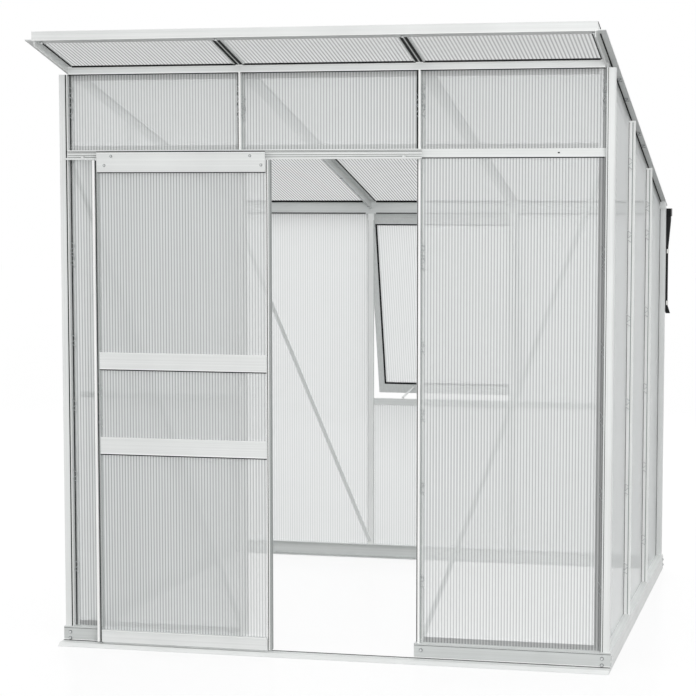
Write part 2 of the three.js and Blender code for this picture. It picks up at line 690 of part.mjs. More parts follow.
// Vent window: the sash hangs on two pins in the rear eave beam's ears and stands a little open
function makeVentSill() {
  const y0 = baseDepth - flangeOuter + fitGap;
  const y1 = rearFace - sheetPlay;
  const bottom = ventSillTop - ventSillHeight;
  const outline = [
    [y0, bottom], [y0 + barWall, bottom], [y0 + barWall, ventSillTop - barWall],
    [y1 - barWall, ventSillTop - barWall], [y1 - barWall, ventSillTop - ventLip],
    [y1, ventSillTop - ventLip], [y1, ventSillTop], [y0, ventSillTop],
  ];
  const endX = mullionX - barWall / 2 - fitGap;
  const peg = upright(ring(stayX, rearFace - stayPegInset, stayPegRadius, smallSides),
    ventSillTop - barWall / 2, level(ventSillTop + stayPegHeight));
  const rail = alongX(outline, -endX, endX);
  const noseRoom = Object.values(sides).map((side) => box(
    side * (mullionX - barNose / 2 - fitGap), side * mullionX,
    rearFace - barWall - fitGap, rearFace, bottom - cutOver, ventSillTop + cutOver,
  ));
  addPiece('vent_sill_rail', join(cut(rail, ...noseRoom), peg), aluminium);
}

function makeVent() {
  const sash = new THREE.Group();
  sash.position.set(0, hingeY, hingeHeight);
  sash.rotation.x = ventOpen;
  greenhouse.add(sash);
  const half = sashHalf;
  const lightX = half - sashStile;
  const light = rect(-lightX, lightX, sashBottomRail - sashDrop, sashAbove - sashTopRail);
  const frame = alongY(rect(-half, half, -sashDrop, sashAbove), -sashInside, sashOutside, [light]);
  const lugY = sashInside + lugReach - stayEye;
  const lugZ = lugRise - sashDrop;
  const solids = [frame];
  for (const side of Object.values(sides)) {
    solids.push(alongX(ring(0, 0, hingePin, smallSides), side * (half - cutOver), side * (half + pinLength)));
    const lugX = stayX + side * (stayWidth / 2 + fitGap);
    solids.push(box(lugX, lugX + side * lugThick, -sashInside - lugReach, -sashInside + cutOver,
      lugZ - lugHeight / 2, lugZ + lugHeight / 2));
  }
  const lugHalf = stayWidth / 2 + lugThick;
  solids.push(alongX(ring(-lugY, lugZ, stayPin, smallSides), stayX - lugHalf, stayX + lugHalf));
  addPiece('vent_sash_frame', join(...solids), aluminium, sash);
  const paneX = lightX - fitGap;
  const paneBottom = sashBottomRail - sashDrop + fitGap;
  const paneTop = sashAbove - sashTopRail - fitGap;
  const paneY = (sashOutside - sashInside - wallSheet) / 2;
  addPiece('vent_pane', box(-paneX, paneX, paneY, paneY + wallSheet, paneBottom, paneTop), sheet, sash);

  // The stay reaches from the lugs to just above the peg on the sill rail
  const pivotY = hingeY - lugY * Math.cos(ventOpen) - lugZ * Math.sin(ventOpen);
  const pivotZ = hingeHeight - lugY * Math.sin(ventOpen) + lugZ * Math.cos(ventOpen);
  const pegY = rearFace - stayPegInset;
  const restZ = ventSillTop + stayPegHeight + stayClear + stayThick / 2;
  const reach = Math.hypot(pivotY - pegY, pivotZ - restZ);
  const stay = new THREE.Group();
  stay.position.set(stayX, pivotY, pivotZ);
  stay.rotation.x = Math.atan2(pivotZ - restZ, pivotY - pegY);
  greenhouse.add(stay);
  const eye = alongX(ring(0, 0, stayEye, smallSides), -stayWidth / 2, stayWidth / 2);
  const arm = box(-stayWidth / 2, stayWidth / 2, -reach - stayBeyond, 0, -stayThick / 2, stayThick / 2);
  const bore = alongX(ring(0, 0, stayPin + fitGap, smallSides), -stayWidth, stayWidth);
  addPiece('vent_stay', cut(join(eye, arm), bore), aluminium, stay);
}

// Rain water: an outlet box on the gutter's open end, and a downpipe behind the corner post
const tube = (z0, z1, radius) => loft([[pipeX, pipeY, z0, radius], [pipeX, pipeY, z1, radius]], pipeSides);

function makeOutlet() {
  const floor = gutterFloor - outletDrop;
  const [x0, x1] = [gutterRightEnd, gutterRightEnd + outletLength];
  const [y0, y1] = [rearFace + fitGap, rearFace + gutterWidth + outletWall];
  const outletTop = gutterTop + outletRise;
  const spoutTop = floor - spoutLength;
  const spoutRadius = funnelRadius - pipeWall - fitGap;
  const body = join(
    box(x0, x1, y0, y1, floor, outletTop),
    tube(spoutTop, floor + outletWall / 2, spoutRadius),
  );
  const room = box(x0 - cutOver, x1 - outletWall, y0 + outletWall, y1 - outletWall,
    floor + outletWall, outletTop + cutOver);
  const hole = tube(spoutTop - cutOver, outletTop, spoutRadius - pipeWall);
  addPiece('gutter_outlet', cut(body, room, hole), blackPlastic);
}

function makeDownpipe() {
  const top = gutterFloor - outletDrop - fitGap;
  const lead = top - funnelCollar;
  const run = (inset, over) => loft([
    [pipeX + elbowReach, pipeY, elbowTop - elbowDrop - over, pipeRadius - inset],
    [pipeX + elbowReach / 2, pipeY, elbowTop - elbowDrop / 2, pipeRadius - inset],
    [pipeX, pipeY, elbowTop, pipeRadius - inset],
    [pipeX, pipeY, funnelEnd, pipeRadius - inset],
    [pipeX, pipeY, lead, funnelRadius - inset],
    [pipeX, pipeY, top + over, funnelRadius - inset],
  ], pipeSides);
  const clips = [funnelEnd - clipBelowFunnel, elbowTop + clipHeight + clipBelowFunnel].map((clipTop) => join(
    tube(clipTop - clipHeight, clipTop, pipeRadius + clipWall),
    box(pipeX - clipArm / 2, pipeX + clipArm / 2, rearFace + fitGap, pipeY, clipTop - clipHeight, clipTop),
  ));
  addPiece('downpipe', cut(join(run(0, 0), ...clips), run(pipeWall, cutOver)), blackPlastic);
}

makeFrontBase();
makeRearRail();
for (const [name, side] of Object.entries(sides)) {
  makeSideRail(side, name);
  makeCornerPost(side, name, fromFront, 'front');
  makeCornerPost(side, name, fromRear, 'rear');
  makeMullion(side, name, fromFront, 'front', frontEaveBottom);
  makeMullion(side, name, fromRear, 'rear', rearEaveBottom);
  for (let bay = 1; bay < sideBays; bay += 1) makeStud(side, name, bay);
  makeSideSheets(side, name);
  makeEdgeBeam(side, name);
  makeRafter(side, name);
  makeBrace(`front_${name}`, side, transomBottom - braceFrontDrop, baseHeight + braceFrontLift,
    barInner, barInner + braceThick);
}
makeBrace('rear_left', sides.left, rearEaveBottom - braceRearDrop, baseHeight + braceRearLift,
  baseDepth - barInner - braceThick, baseDepth - barInner);
addPiece('eave_beam_front', eaveSection(fromFront, frontEaveBottom), aluminium);
makeRearEave();
makeFascia();
makeTrack();
makeFrontSheets(makePlainTransom());
makeRearSheets();
makeRoofSheets();
makeDoor();
makeVentSill();
makeVent();
makeOutlet();
makeDownpipe();

// Origin: on the ground, under the middle of the box that the open vent window reaches out of
const boxRight = gutterRightEnd + outletLength;
const boxRear = hingeY + sashOutside * Math.cos(ventOpen) + sashDrop * Math.sin(ventOpen);
greenhouse.position.set((halfWidth - boxRight) / 2, (canopyReach - boxRear) / 2, 0);

export default greenhouse;
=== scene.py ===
"""Pent-roof greenhouse of aluminium bars and twin-wall sheet, dressed around its packed solids.

Metres, +Z up, the high front wall with the sliding door faces -Y.
"""

import math

import bmesh
import bpy
from bpy.props import FloatProperty, FloatVectorProperty, IntProperty, PointerProperty
from bpy.types import Operator, Panel, PropertyGroup
from mathutils import Matrix, Vector


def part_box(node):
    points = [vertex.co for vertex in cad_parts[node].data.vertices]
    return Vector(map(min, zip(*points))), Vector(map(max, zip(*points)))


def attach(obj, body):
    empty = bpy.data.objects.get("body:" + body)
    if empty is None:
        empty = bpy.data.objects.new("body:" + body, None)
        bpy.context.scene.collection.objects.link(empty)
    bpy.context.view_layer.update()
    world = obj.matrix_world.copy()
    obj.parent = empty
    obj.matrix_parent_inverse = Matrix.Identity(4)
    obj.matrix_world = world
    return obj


bl_info = {
    "name": "Pent-roof greenhouse",
    "version": (1, 0, 0),
    "blender": (4, 5, 0),
    "location": "3D View > Sidebar > Greenhouse",
    "description": "Finishes and small trim of a pent-roof greenhouse",
    "category": "Object",
}

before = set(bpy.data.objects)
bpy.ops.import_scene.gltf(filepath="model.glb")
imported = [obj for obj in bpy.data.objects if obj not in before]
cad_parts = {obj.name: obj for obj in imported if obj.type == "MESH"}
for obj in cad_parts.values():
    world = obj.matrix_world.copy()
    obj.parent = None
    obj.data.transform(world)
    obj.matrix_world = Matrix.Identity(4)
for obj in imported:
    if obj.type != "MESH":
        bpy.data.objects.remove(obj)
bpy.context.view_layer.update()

# Places are given in millimetres from the middle of the base's front edge, on the ground. That edge
# lies 3 mm in front of the side rails.
REAR_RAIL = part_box("base_rail_rear")
MIDDLE_X = (REAR_RAIL[0].x + REAR_RAIL[1].x) / 2
SIDE_RAIL_INSET = 0.003
FRONT_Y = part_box("base_rail_left")[0].y - SIDE_RAIL_INSET
BASE_DEPTH = 1930.0

# Heights of the roof sheets' underside, over the base's front and rear edge.
SEAT_FRONT = 2015.0
SEAT_REAR = 1555.0
FALL = (SEAT_FRONT - SEAT_REAR) / BASE_DEPTH
SLANT = math.hypot(1, FALL)

# Middles of the upright bars, and the clear widths between the front ones and between their seals.
MULLION_X = 311.0
POST_X = 930.0
STUDS_Y = (BASE_DEPTH / 3, BASE_DEPTH * 2 / 3)
FRONT_BAYS = ((-926, -314.6), (-307.4, 307.4), (314.6, 926))
SHEET_BAYS = ((-916.6, -324.8), (-297.2, 297.2), (324.8, 904.6))

# Heights where the trim of the walls starts and ends.
BASE_TOP = 61.5
FRONT_WALL_TOP = 1984.5
REAR_WALL_TOP = 1507
STUD_TOP_BELOW_ROOF = 26
TRANSOM_TOP = 1726.6

# From and to: the depth of the roof bars' seals, of the strips of painted shade on the front sheets and
# of the door stiles' seals, and the height of those of the stiles.
ROOF_SEAL_DEPTH = (-277, 1958)
PAINTED_SHADE_DEPTH = (27.4, 27.9)
STILE_SEAL_DEPTH = (-31.9, -31.02)
STILE_SEAL_HEIGHT = (20.5, 1690)

# Ends of the door's rails across, and the undersides of its two mid rails.
DOOR_RAIL_ENDS = tuple((corner.x - MIDDLE_X) * 1000 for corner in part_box("door_hanger_rail"))
DOOR_MID_RAILS = tuple(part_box(f"door_mid_rail_{name}")[0].z * 1000 for name in ("lower", "upper"))

# The opening of the vent window in the photograph, which is the pose at rest, in degrees.
VENT_LEAN = 14.4

# Shares of a finish's own colour: at a rib of a sheet, in the strips of painted shade on the front
# sheets, and where metal or plastic varies. A front sheet's ribs have their own colour. The side walls'
# ribs are much lighter: painted light, where the lamps reach those walls less.
RIB_TONES_AND_PAINTED_LIGHT = {"roof": 0.6, "rear": 1.35, "side": 1.7}
PAINTED_SHADE_SHARES = {"low_tape": 0.5, "high_tape": 0.72}
DIE_LINE_SHADE = 0.89
PLATING_SHADE = 0.7
MOULDED_SHADES = (0.82, 1.12)

# How many times the other sheets' light from behind a roof sheet passes.
ROOF_GLOW = 1.7

BARS_ALONG_X = (
    "base_rail_rear", "front_sill", "eave_beam_front", "eave_beam_rear", "roof_fascia", "door_track",
    "transom_right", "door_hanger_rail", "door_bottom_rail", "door_mid_rail_lower",
    "door_mid_rail_upper", "vent_sill_rail",
)
BARS_ALONG_Y = (
    "base_rail_left", "base_rail_right", "roof_edge_beam_left", "roof_edge_beam_right",
    "rafter_left", "rafter_right", "vent_stay",
)


def at(x, y, z):
    """A place in millimetres from the middle of the base's front edge, as metres in the frame."""
    return Vector((x / 1000 + MIDDLE_X, y / 1000 + FRONT_Y, z / 1000))


def on_roof(x, y, above):
    """A place on the roof: above is measured square to the slope, from the sheets' underside."""
    return at(x, y, SEAT_FRONT - FALL * y + above * SLANT)


def linear(code):
    """An sRGB hex colour as the linear values that a shader takes."""
    shares = [int(code[i:i + 2], 16) / 255 for i in (1, 3, 5)]
    return tuple(s / 12.92 if s <= 0.04045 else ((s + 0.055) / 1.055) ** 2.4 for s in shares)


def colour(name, description, code):
    """A colour that a user may change, given as sRGB hex."""
    return FloatVectorProperty(
        name=name, description=description, subtype="COLOR", size=3, min=0, max=1, default=linear(code))


def length(name, description, default):
    """A length that a user may change, in metres."""
    return FloatProperty(name=name, description=description, default=default, min=0, unit="LENGTH")


class GreenhouseColours(PropertyGroup):
    """Colours of the greenhouse's materials."""

    aluminium: colour("Aluminium", "Mill-finish bars", "#E6E8E7")
    # Painted highlight: a lighter copy of the aluminium, for the narrow bars and the lips whose edges
    # catch the light.
    aluminium_bright: colour("Aluminium, bright", "Narrow bars and lips that catch the light", "#FBFCFB")
    aluminium_dull: colour("Aluminium, dull", "Plates of the base", "#CBCECD")
    sheet: colour("Sheet", "Twin-wall sheet between its ribs", "#F3F4F4")
    sheet_rib: colour("Sheet rib", "Twin-wall sheet at a rib", "#BABCBC")
    sheet_light: colour("Sheet, lit through", "What one skin of a sheet lets through", "#F2F3F3")
    plastic: colour("Black plastic", "Outlet and downpipe", "#0F1011")
    # This black is also laid as strips of painted shade.
    rubber: colour("Rubber", "Glazing seals and gasket", "#141516")
    # Painted shade: the grey of the strips laid where the door and the bars are in shade.
    gasket: colour("Grey painted shade", "Edging of the door's sheet", "#A4A8A7")
    nylon: colour("Nylon", "Rollers and the bands of the pipe clips", "#ECECE8")
    zinc: colour("Zinc", "Bolt heads", "#EDEFEF")
    # Painted shade: a darker steel for the washers round the bolt heads and for the clips under the roof
    # edge beams.
    washer: colour("Washer", "Washers of the bolts, and clips of the roof edge beams", "#8F9394")
    wire: colour("Wire", "Glazing clips", "#C9CDCE")
    floor: colour("Floor", "Studio floor", "#FAFAFA")
    floor_bounce: colour("Floor bounce", "What the floor gives back to the object", "#7C7C7C")


class GreenhouseSizes(PropertyGroup):
    """Sizes of the patterns and of the small trim."""

    flute: length("Flute", "Distance between the ribs of a wall sheet", 0.01025)
    roof_flute: length("Roof flute", "Distance between the ribs of a roof sheet", 0.0124)
    sheet_cover: FloatProperty(
        name="Sheet cover", description="Share of a skin that hides what is behind it", default=0.4,
        min=0, max=1)
    sheet_glow: FloatProperty(
        name="Sheet glow", description="Share of a skin that passes light from behind", default=0.2,
        min=0, max=1)
    die_line: length("Die line", "Distance between the bars' drawn lines", 0.004)
    joint_bar: length("Joint bar", "Height of the bars that join two sheets", 0.021)
    seal: length("Seal", "Width of a glazing seal", 0.004)
    bolt_head: length("Bolt head", "Width of a bolt's head", 0.010)
    bolt_height: length("Bolt height", "Height of a bolt's head", 0.005)
    door_bolt_head: length("Door bolt head", "Width of a head on the door's hanger rail", 0.007)
    door_bolt_height: length("Door bolt height", "Height of a head on the door's hanger rail", 0.0025)
    washer_margin: length("Washer margin", "How far a washer shows round its head", 0.0012)
    washer_thickness: length("Washer thickness", "Thickness of a bolt's washer", 0.0012)
    wire: length("Wire", "Diameter of a glazing clip's wire", 0.0018)
    clip_length: length("Clip length", "Length of a glazing clip along its bar", 0.048)
    clip_reach: length("Clip reach", "How far a glazing clip reaches over the sheet", 0.011)
    clip_depth: length("Clip depth", "From the sheet up to the bar's nose", 0.012)
    clip_turns: IntProperty(
        name="Clip turns", description="Number of bends in a glazing clip", default=3, min=2, max=8)


class GreenhouseStudio(PropertyGroup):
    """The plain studio and the camera."""

    sky: FloatProperty(name="Sky", description="Strength of the even light all round", default=1.0, min=0)
    key: FloatProperty(name="Key", description="Power of the soft lamp in front", default=190, min=0)
    rear: FloatProperty(name="Rear", description="Power of the soft lamp behind", default=150, min=0)
    floor_glow: FloatProperty(
        name="Floor glow", description="Share of plain white in the floor as it is seen", default=0.85,
        min=0, max=1)
    lens: FloatProperty(name="Lens", description="Focal length in millimetres", default=101.3, min=1)
    camera_place: FloatVectorProperty(
        name="Camera place", description="Where the camera stands", subtype="TRANSLATION",
        unit="LENGTH", size=3, default=at(1690.5, -6383.7, 1521.3))
    camera_yaw: FloatProperty(
        name="Camera yaw", description="Turn to the left of straight on", subtype="ANGLE", default=0.2162)
    camera_pitch: FloatProperty(
        name="Camera pitch", description="Tilt below level", subtype="ANGLE", default=0.0865)
    camera_roll: FloatProperty(
        name="Camera roll", description="Turn about the line of sight", subtype="ANGLE", default=0.0021)
    shift: FloatVectorProperty(
        name="Shift", description="Sideways and upward shift of the frame", size=2,
        default=(-0.0919, 0.0467))


def colours():
    """The colours that the user set."""
    return bpy.context.scene.greenhouse_colours


def sizes():
    """The sizes that the user set."""
    return bpy.context.scene.greenhouse_sizes


def studio():
    """The light and the camera that the user set."""
    return bpy.context.scene.greenhouse_studio


def add(tree, kind, inputs=None, **settings):
    """Adds a node with its settings. An input given as a socket is linked, and any other is set."""
    node = tree.nodes.new(kind)
    for name, value in settings.items():
        setattr(node, name, value)
    for name, value in (inputs or {}).items():
        if isinstance(value, bpy.types.NodeSocket):
            tree.links.new(value, node.inputs[name])
        else:
            node.inputs[name].default_value = value
    return node


def opaque(rgb):
    """A colour as a node's socket takes it, with nothing see-through."""
    return (rgb[0], rgb[1], rgb[2], 1)


def new_material(name):
    """An empty node material and its tree."""
    material = bpy.data.materials.new(name)
    material.use_nodes = True
    material.node_tree.nodes.clear()
    return material, material.node_tree


def material_once(make):
    """Makes a material on its first use and gives the same one afterwards."""
    kept = {}

    def fetch(*key):
        if key not in kept:
            kept[key] = make(*key)
        return kept[key]

    fetch.__doc__ = make.__doc__
    return fetch


@material_once
def mill_aluminium(along, tone="aluminium"):
    """Extruded aluminium, mill finish. Drawn through a die, so faint lines run along each bar:
    the eye sees a pale satin metal, a little duller and rougher along the lines. Real lines are
    under a millimetre apart, and these are coarser, so that they show."""
    material, tree = new_material(f"extruded_{tone}_{along}")
    own = getattr(colours(), tone)
    fine, long = 1 / sizes().die_line, 0.7
    scale = {"x": (long, fine, fine), "y": (fine, long, fine), "z": (fine, fine, long)}[along]
    place = add(tree, "ShaderNodeTexCoord").outputs["Object"]
    drawn = add(tree, "ShaderNodeMapping", {"Vector": place, "Scale": scale})
    lines = add(tree, "ShaderNodeTexNoise", {"Vector": drawn.outputs[0], "Scale": 1.0, "Detail": 3.0})
    clouds = add(tree, "ShaderNodeTexNoise", {"Vector": place, "Scale": 5.0, "Detail": 2.0})
    both = add(tree, "ShaderNodeMix", {2: lines.outputs["Fac"], 3: clouds.outputs["Fac"], 0: 0.35})
    shade = add(tree, "ShaderNodeMapRange", {
        "Value": both.outputs[0], "From Min": 0.35, "From Max": 0.62, "To Min": 0.0, "To Max": 1.0})
    tint = add(tree, "ShaderNodeMix", {
        0: shade.outputs[0], 6: opaque([c * DIE_LINE_SHADE for c in own]), 7: opaque(own),
    }, data_type="RGBA")
    rough = add(tree, "ShaderNodeMapRange", {
        "Value": both.outputs[0], "From Min": 0.3, "From Max": 0.7, "To Min": 0.52, "To Max": 0.4})
    bump = add(tree, "ShaderNodeBump", {
        "Height": lines.outputs["Fac"], "Strength": 0.12, "Distance": 0.0006})
    metal = add(tree, "ShaderNodeBsdfPrincipled", {
        "Base Color": tint.outputs[2], "Roughness": rough.outputs[0], "Normal": bump.outputs[0],
        "Metallic": 0.18})
    add(tree, "ShaderNodeOutputMaterial", {"Surface": metal.outputs[0]})
    return material


@material_once
def twin_wall(across, facing):
    """Twin-wall polycarbonate, extruded: two thin milky skins joined by ribs. The eye sees fine grey
    lines along the flutes, and behind them, faintly, the bars of the other walls. Under the tapes of
    its ends the same lines are darker, and nothing shows through."""
    material, tree = new_material(f"twin_wall_polycarbonate_{facing}")
    own = colours()
    as_painted_shade = facing in PAINTED_SHADE_SHARES
    shade = PAINTED_SHADE_SHARES.get(facing, 1.0)
    cover = 1.0 if as_painted_shade else sizes().sheet_cover
    passed = sizes().sheet_glow * (ROOF_GLOW if facing == "roof" else 1)
    place = add(tree, "ShaderNodeTexCoord").outputs["Object"]
    parts = add(tree, "ShaderNodeSeparateXYZ", {0: place})
    flute = sizes().roof_flute if facing == "roof" else sizes().flute
    count = add(tree, "ShaderNodeMath", {
        0: parts.outputs[across.upper()], 1: 1 / flute}, operation="MULTIPLY")
    share = add(tree, "ShaderNodeMath", {0: count.outputs[0], 1: 0.5}, operation="PINGPONG")
    line = add(tree, "ShaderNodeMapRange", {
        "Value": share.outputs[0], "From Min": 0.06, "From Max": 0.34, "To Min": 1.0, "To Max": 0.0},
        interpolation_type="SMOOTHSTEP")
    # At a side wall the rib is lighter: painted light.
    at_rib = RIB_TONES_AND_PAINTED_LIGHT.get(facing, 1.0)
    tint = add(tree, "ShaderNodeMix", {
        0: line.outputs[0], 6: opaque([c * shade for c in own.sheet]),
        7: opaque([c * shade * at_rib for c in own.sheet_rib]),
    }, data_type="RGBA")
    skin = add(tree, "ShaderNodeBsdfPrincipled", {
        "Base Color": tint.outputs[2], "Roughness": 0.4, "IOR": 1.58, "Specular IOR Level": 0.2,
        "Alpha": cover})
    glow = add(tree, "ShaderNodeBsdfTranslucent", {"Color": tint.outputs[2]})
    sheet = add(tree, "ShaderNodeMixShader", {0: passed, 1: skin.outputs[0], 2: glow.outputs[0]})
    ray = add(tree, "ShaderNodeLightPath").outputs
    light = add(tree, "ShaderNodeMath", {
        0: ray["Is Shadow Ray"], 1: ray["Is Diffuse Ray"]}, operation="MAXIMUM")
    let_through = add(tree, "ShaderNodeBsdfTransparent", {"Color": opaque(own.sheet_light)})
    both = add(tree, "ShaderNodeMixShader", {
        0: light.outputs[0], 1: sheet.outputs[0], 2: let_through.outputs[0]})
    add(tree, "ShaderNodeOutputMaterial", {"Surface": both.outputs[0]})
    return material


@material_once
def moulded(name, which, rough, grain):
    """Injection-moulded plastic: even colour with a fine moulded grain that softens the gloss. The
    grain of a real one is about a tenth as coarse, and wouldn't show."""
    material, tree = new_material(name)
    place = add(tree, "ShaderNodeTexCoord").outputs["Object"]
    pits = add(tree, "ShaderNodeTexNoise", {"Vector": place, "Scale": 1 / grain, "Detail": 3.0})
    own = getattr(colours(), which)
    dark, pale = ([min(1, c * shade) for c in own] for shade in MOULDED_SHADES)
    tint = add(tree, "ShaderNodeMix", {
        0: pits.outputs["Fac"], 6: opaque(dark), 7: opaque(pale)}, data_type="RGBA")
    gloss = add(tree, "ShaderNodeMapRange", {
        "Value": pits.outputs["Fac"], "To Min": rough - 0.08, "To Max": rough + 0.08})
    bump = add(tree, "ShaderNodeBump", {
        "Height": pits.outputs["Fac"], "Strength": 0.2, "Distance": 0.0003})
    skin = add(tree, "ShaderNodeBsdfPrincipled", {
        "Base Color": tint.outputs[2], "Roughness": gloss.outputs[0], "Normal": bump.outputs[0],
        "IOR": 1.5, "Specular IOR Level": 0.2})
    add(tree, "ShaderNodeOutputMaterial", {"Surface": skin.outputs[0]})
    return material


def black_abs():
    """ABS, moulded: satin black."""
    return moulded("moulded_black_abs", "plastic", 0.42, 0.0015)


def epdm_rubber():
    """EPDM rubber, extruded: dull black."""
    return moulded("extruded_epdm_rubber", "rubber", 0.7, 0.001)


def grey_painted_shade():
    """PVC, extruded: soft grey."""
    return moulded("extruded_grey_pvc", "gasket", 0.6, 0.001)


def white_nylon():
    """Nylon, moulded: milky white."""
    return moulded("moulded_white_nylon", "nylon", 0.45, 0.0012)


@material_once
def plated_steel(name, which, rough):
    """Zinc-plated or drawn spring steel: grey metal with clouds of about 3 mm in its plating."""
    material, tree = new_material(name)
    place = add(tree, "ShaderNodeTexCoord").outputs["Object"]
    clouds = add(tree, "ShaderNodeTexNoise", {"Vector": place, "Scale": 320.0, "Detail": 2.0})
    own = getattr(colours(), which)
    tint = add(tree, "ShaderNodeMix", {
        0: clouds.outputs["Fac"], 6: opaque([c * PLATING_SHADE for c in own]), 7: opaque(own),
    }, data_type="RGBA")
    gloss = add(tree, "ShaderNodeMapRange", {
        "Value": clouds.outputs["Fac"], "To Min": rough + 0.1, "To Max": rough - 0.1})
    metal = add(tree, "ShaderNodeBsdfPrincipled", {
        "Base Color": tint.outputs[2], "Roughness": gloss.outputs[0], "Metallic": 0.8})
    add(tree, "ShaderNodeOutputMaterial", {"Surface": metal.outputs[0]})
    return material


def zinc_plate():
    """Steel, zinc-plated: pale and slightly cloudy."""
    return plated_steel("zinc_plated_steel", "zinc", 0.35)


def painted_shade_steel():
    """Steel, blackened: mid grey beside the pale bars."""
    return plated_steel("blackened_steel_washer", "washer", 0.5)


def spring_wire():
    """Spring steel, drawn to wire: light grey with a soft shine."""
    return plated_steel("drawn_spring_wire", "wire", 0.35)


def block(bm, x0, x1, y0, y1, z0, z1):
    """Adds a closed block, in millimetres from the middle of the base's front edge."""
    corners = [at(x, y, z) for z in (z0, z1) for y in (y0, y1) for x in (x0, x1)]
    hexahedron(bm, corners)


def roof_block(bm, x0, x1, y0, y1, low, high):
    """Adds a closed block that follows the roof's slope."""
    corners = [on_roof(x, y, n) for n in (low, high) for y in (y0, y1) for x in (x0, x1)]
    hexahedron(bm, corners)


def hexahedron(bm, corners):
    """Adds a closed block from its eight corners, which run along x, then y, then up."""
    verts = [bm.verts.new(c) for c in corners]
    for face in ((0, 2, 3, 1), (4, 5, 7, 6), (0, 1, 5, 4), (2, 6, 7, 3), (0, 4, 6, 2), (1, 3, 7, 5)):
        bm.faces.new([verts[i] for i in face])


def keep_piece(name, mesh, material, body):
    """Links a finished mesh as a piece that rides on a body."""
    mesh.name = name
    piece = bpy.data.objects.new(name, mesh)
    bpy.context.scene.collection.objects.link(piece)
    if material is not None:
        mesh.materials.clear()
        mesh.materials.append(material)
    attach(piece, body)
    return piece


def finish_piece(name, bm, material, body, edge=0.0):
    """Turns a bmesh into a piece, and breaks its sharp edges where a bevel's width is given."""
    bmesh.ops.remove_doubles(bm, verts=bm.verts, dist=1e-6)
    bmesh.ops.recalc_face_normals(bm, faces=bm.faces)
    if edge:
        sharp = [e for e in bm.edges if e.calc_face_angle(0) > 0.6]
        bmesh.ops.bevel(
            bm, geom=sharp, offset=edge, offset_type="OFFSET", segments=2, profile=0.5, affect="EDGES")
    mesh = bpy.data.meshes.new(name)
    bm.to_mesh(mesh)
    bm.free()
    return keep_piece(name, mesh, material, body)


def strips(name, blocks, material, body, on_slope=()):
    """One piece made of closed blocks, each given as x, y and height, from and to. Those on_slope
    follow the roof, and their height is above its sheets' underside."""
    bm = bmesh.new()
    for sides in blocks:
        block(bm, *sides)
    for sides in on_slope:
        roof_block(bm, *sides)
    return finish_piece(name, bm, material, body)


def points_mesh(name, rows):
    """A mesh of loose points, each with the turn that its fitting takes."""
    mesh = bpy.data.meshes.new(name)
    mesh.from_pydata([place for place, _ in rows], [], [])
    turn = mesh.attributes.new("turn", "FLOAT_VECTOR", "POINT")
    turn.data.foreach_set("vector", [value for _, angles in rows for value in angles])
    return mesh


def new_tree(name, inputs):
    """A geometry tree whose named inputs are given as (name, kind)."""
    tree = bpy.data.node_groups.new(name, "GeometryNodeTree")
    tree.interface.new_socket(name="Geometry", in_out="INPUT", socket_type="NodeSocketGeometry")
    for label, kind in inputs:
        tree.interface.new_socket(name=label, in_out="INPUT", socket_type=kind)
    tree.interface.new_socket(name="Geometry", in_out="OUTPUT", socket_type="NodeSocketGeometry")
    return tree, add(tree, "NodeGroupInput").outputs


def place_on_points(tree, given, fitting):
    """Ends a tree: puts a fitting on each point, turned as the point says, and gives it its material."""
    turn = add(tree, "GeometryNodeInputNamedAttribute", {"Name": "turn"}, data_type="FLOAT_VECTOR")
    rotation = add(tree, "FunctionNodeEulerToRotation", {0: turn.outputs[0]})
    placed = add(tree, "GeometryNodeInstanceOnPoints", {
        "Points": given["Geometry"], "Instance": fitting, "Rotation": rotation.outputs[0]})
    real = add(tree, "GeometryNodeRealizeInstances", {0: placed.outputs[0]})
    dressed = add(tree, "GeometryNodeSetMaterial", {
        "Geometry": real.outputs[0], "Material": given["Material"]})
    add(tree, "NodeGroupOutput", {0: dressed.outputs[0]})
    return tree


BOLT_INPUTS = (
    ("Width", "NodeSocketFloat"), ("Height", "NodeSocketFloat"), ("Material", "NodeSocketMaterial"),
)


def bolt_tree():
    """A hexagonal head standing up from each point."""
    tree, given = new_tree("bolt_heads", BOLT_INPUTS)
    wide = add(tree, "ShaderNodeMath", {0: given["Width"], 1: 0.5}, operation="MULTIPLY")
    narrow = add(tree, "ShaderNodeMath", {0: given["Width"], 1: 0.42}, operation="MULTIPLY")
    head = add(tree, "GeometryNodeMeshCone", {
        "Vertices": 6, "Radius Bottom": wide.outputs[0], "Radius Top": narrow.outputs[0],
        "Depth": given["Height"]})
    return place_on_points(tree, given, head.outputs["Mesh"])


def washer_tree():
    """A round washer on each point."""
    tree, given = new_tree("washers", BOLT_INPUTS)
    half = add(tree, "ShaderNodeMath", {0: given["Width"], 1: 0.5}, operation="MULTIPLY")
    washer = add(tree, "GeometryNodeMeshCylinder", {
        "Vertices": 20, "Radius": half.outputs[0], "Depth": given["Height"]})
    return place_on_points(tree, given, washer.outputs["Mesh"])


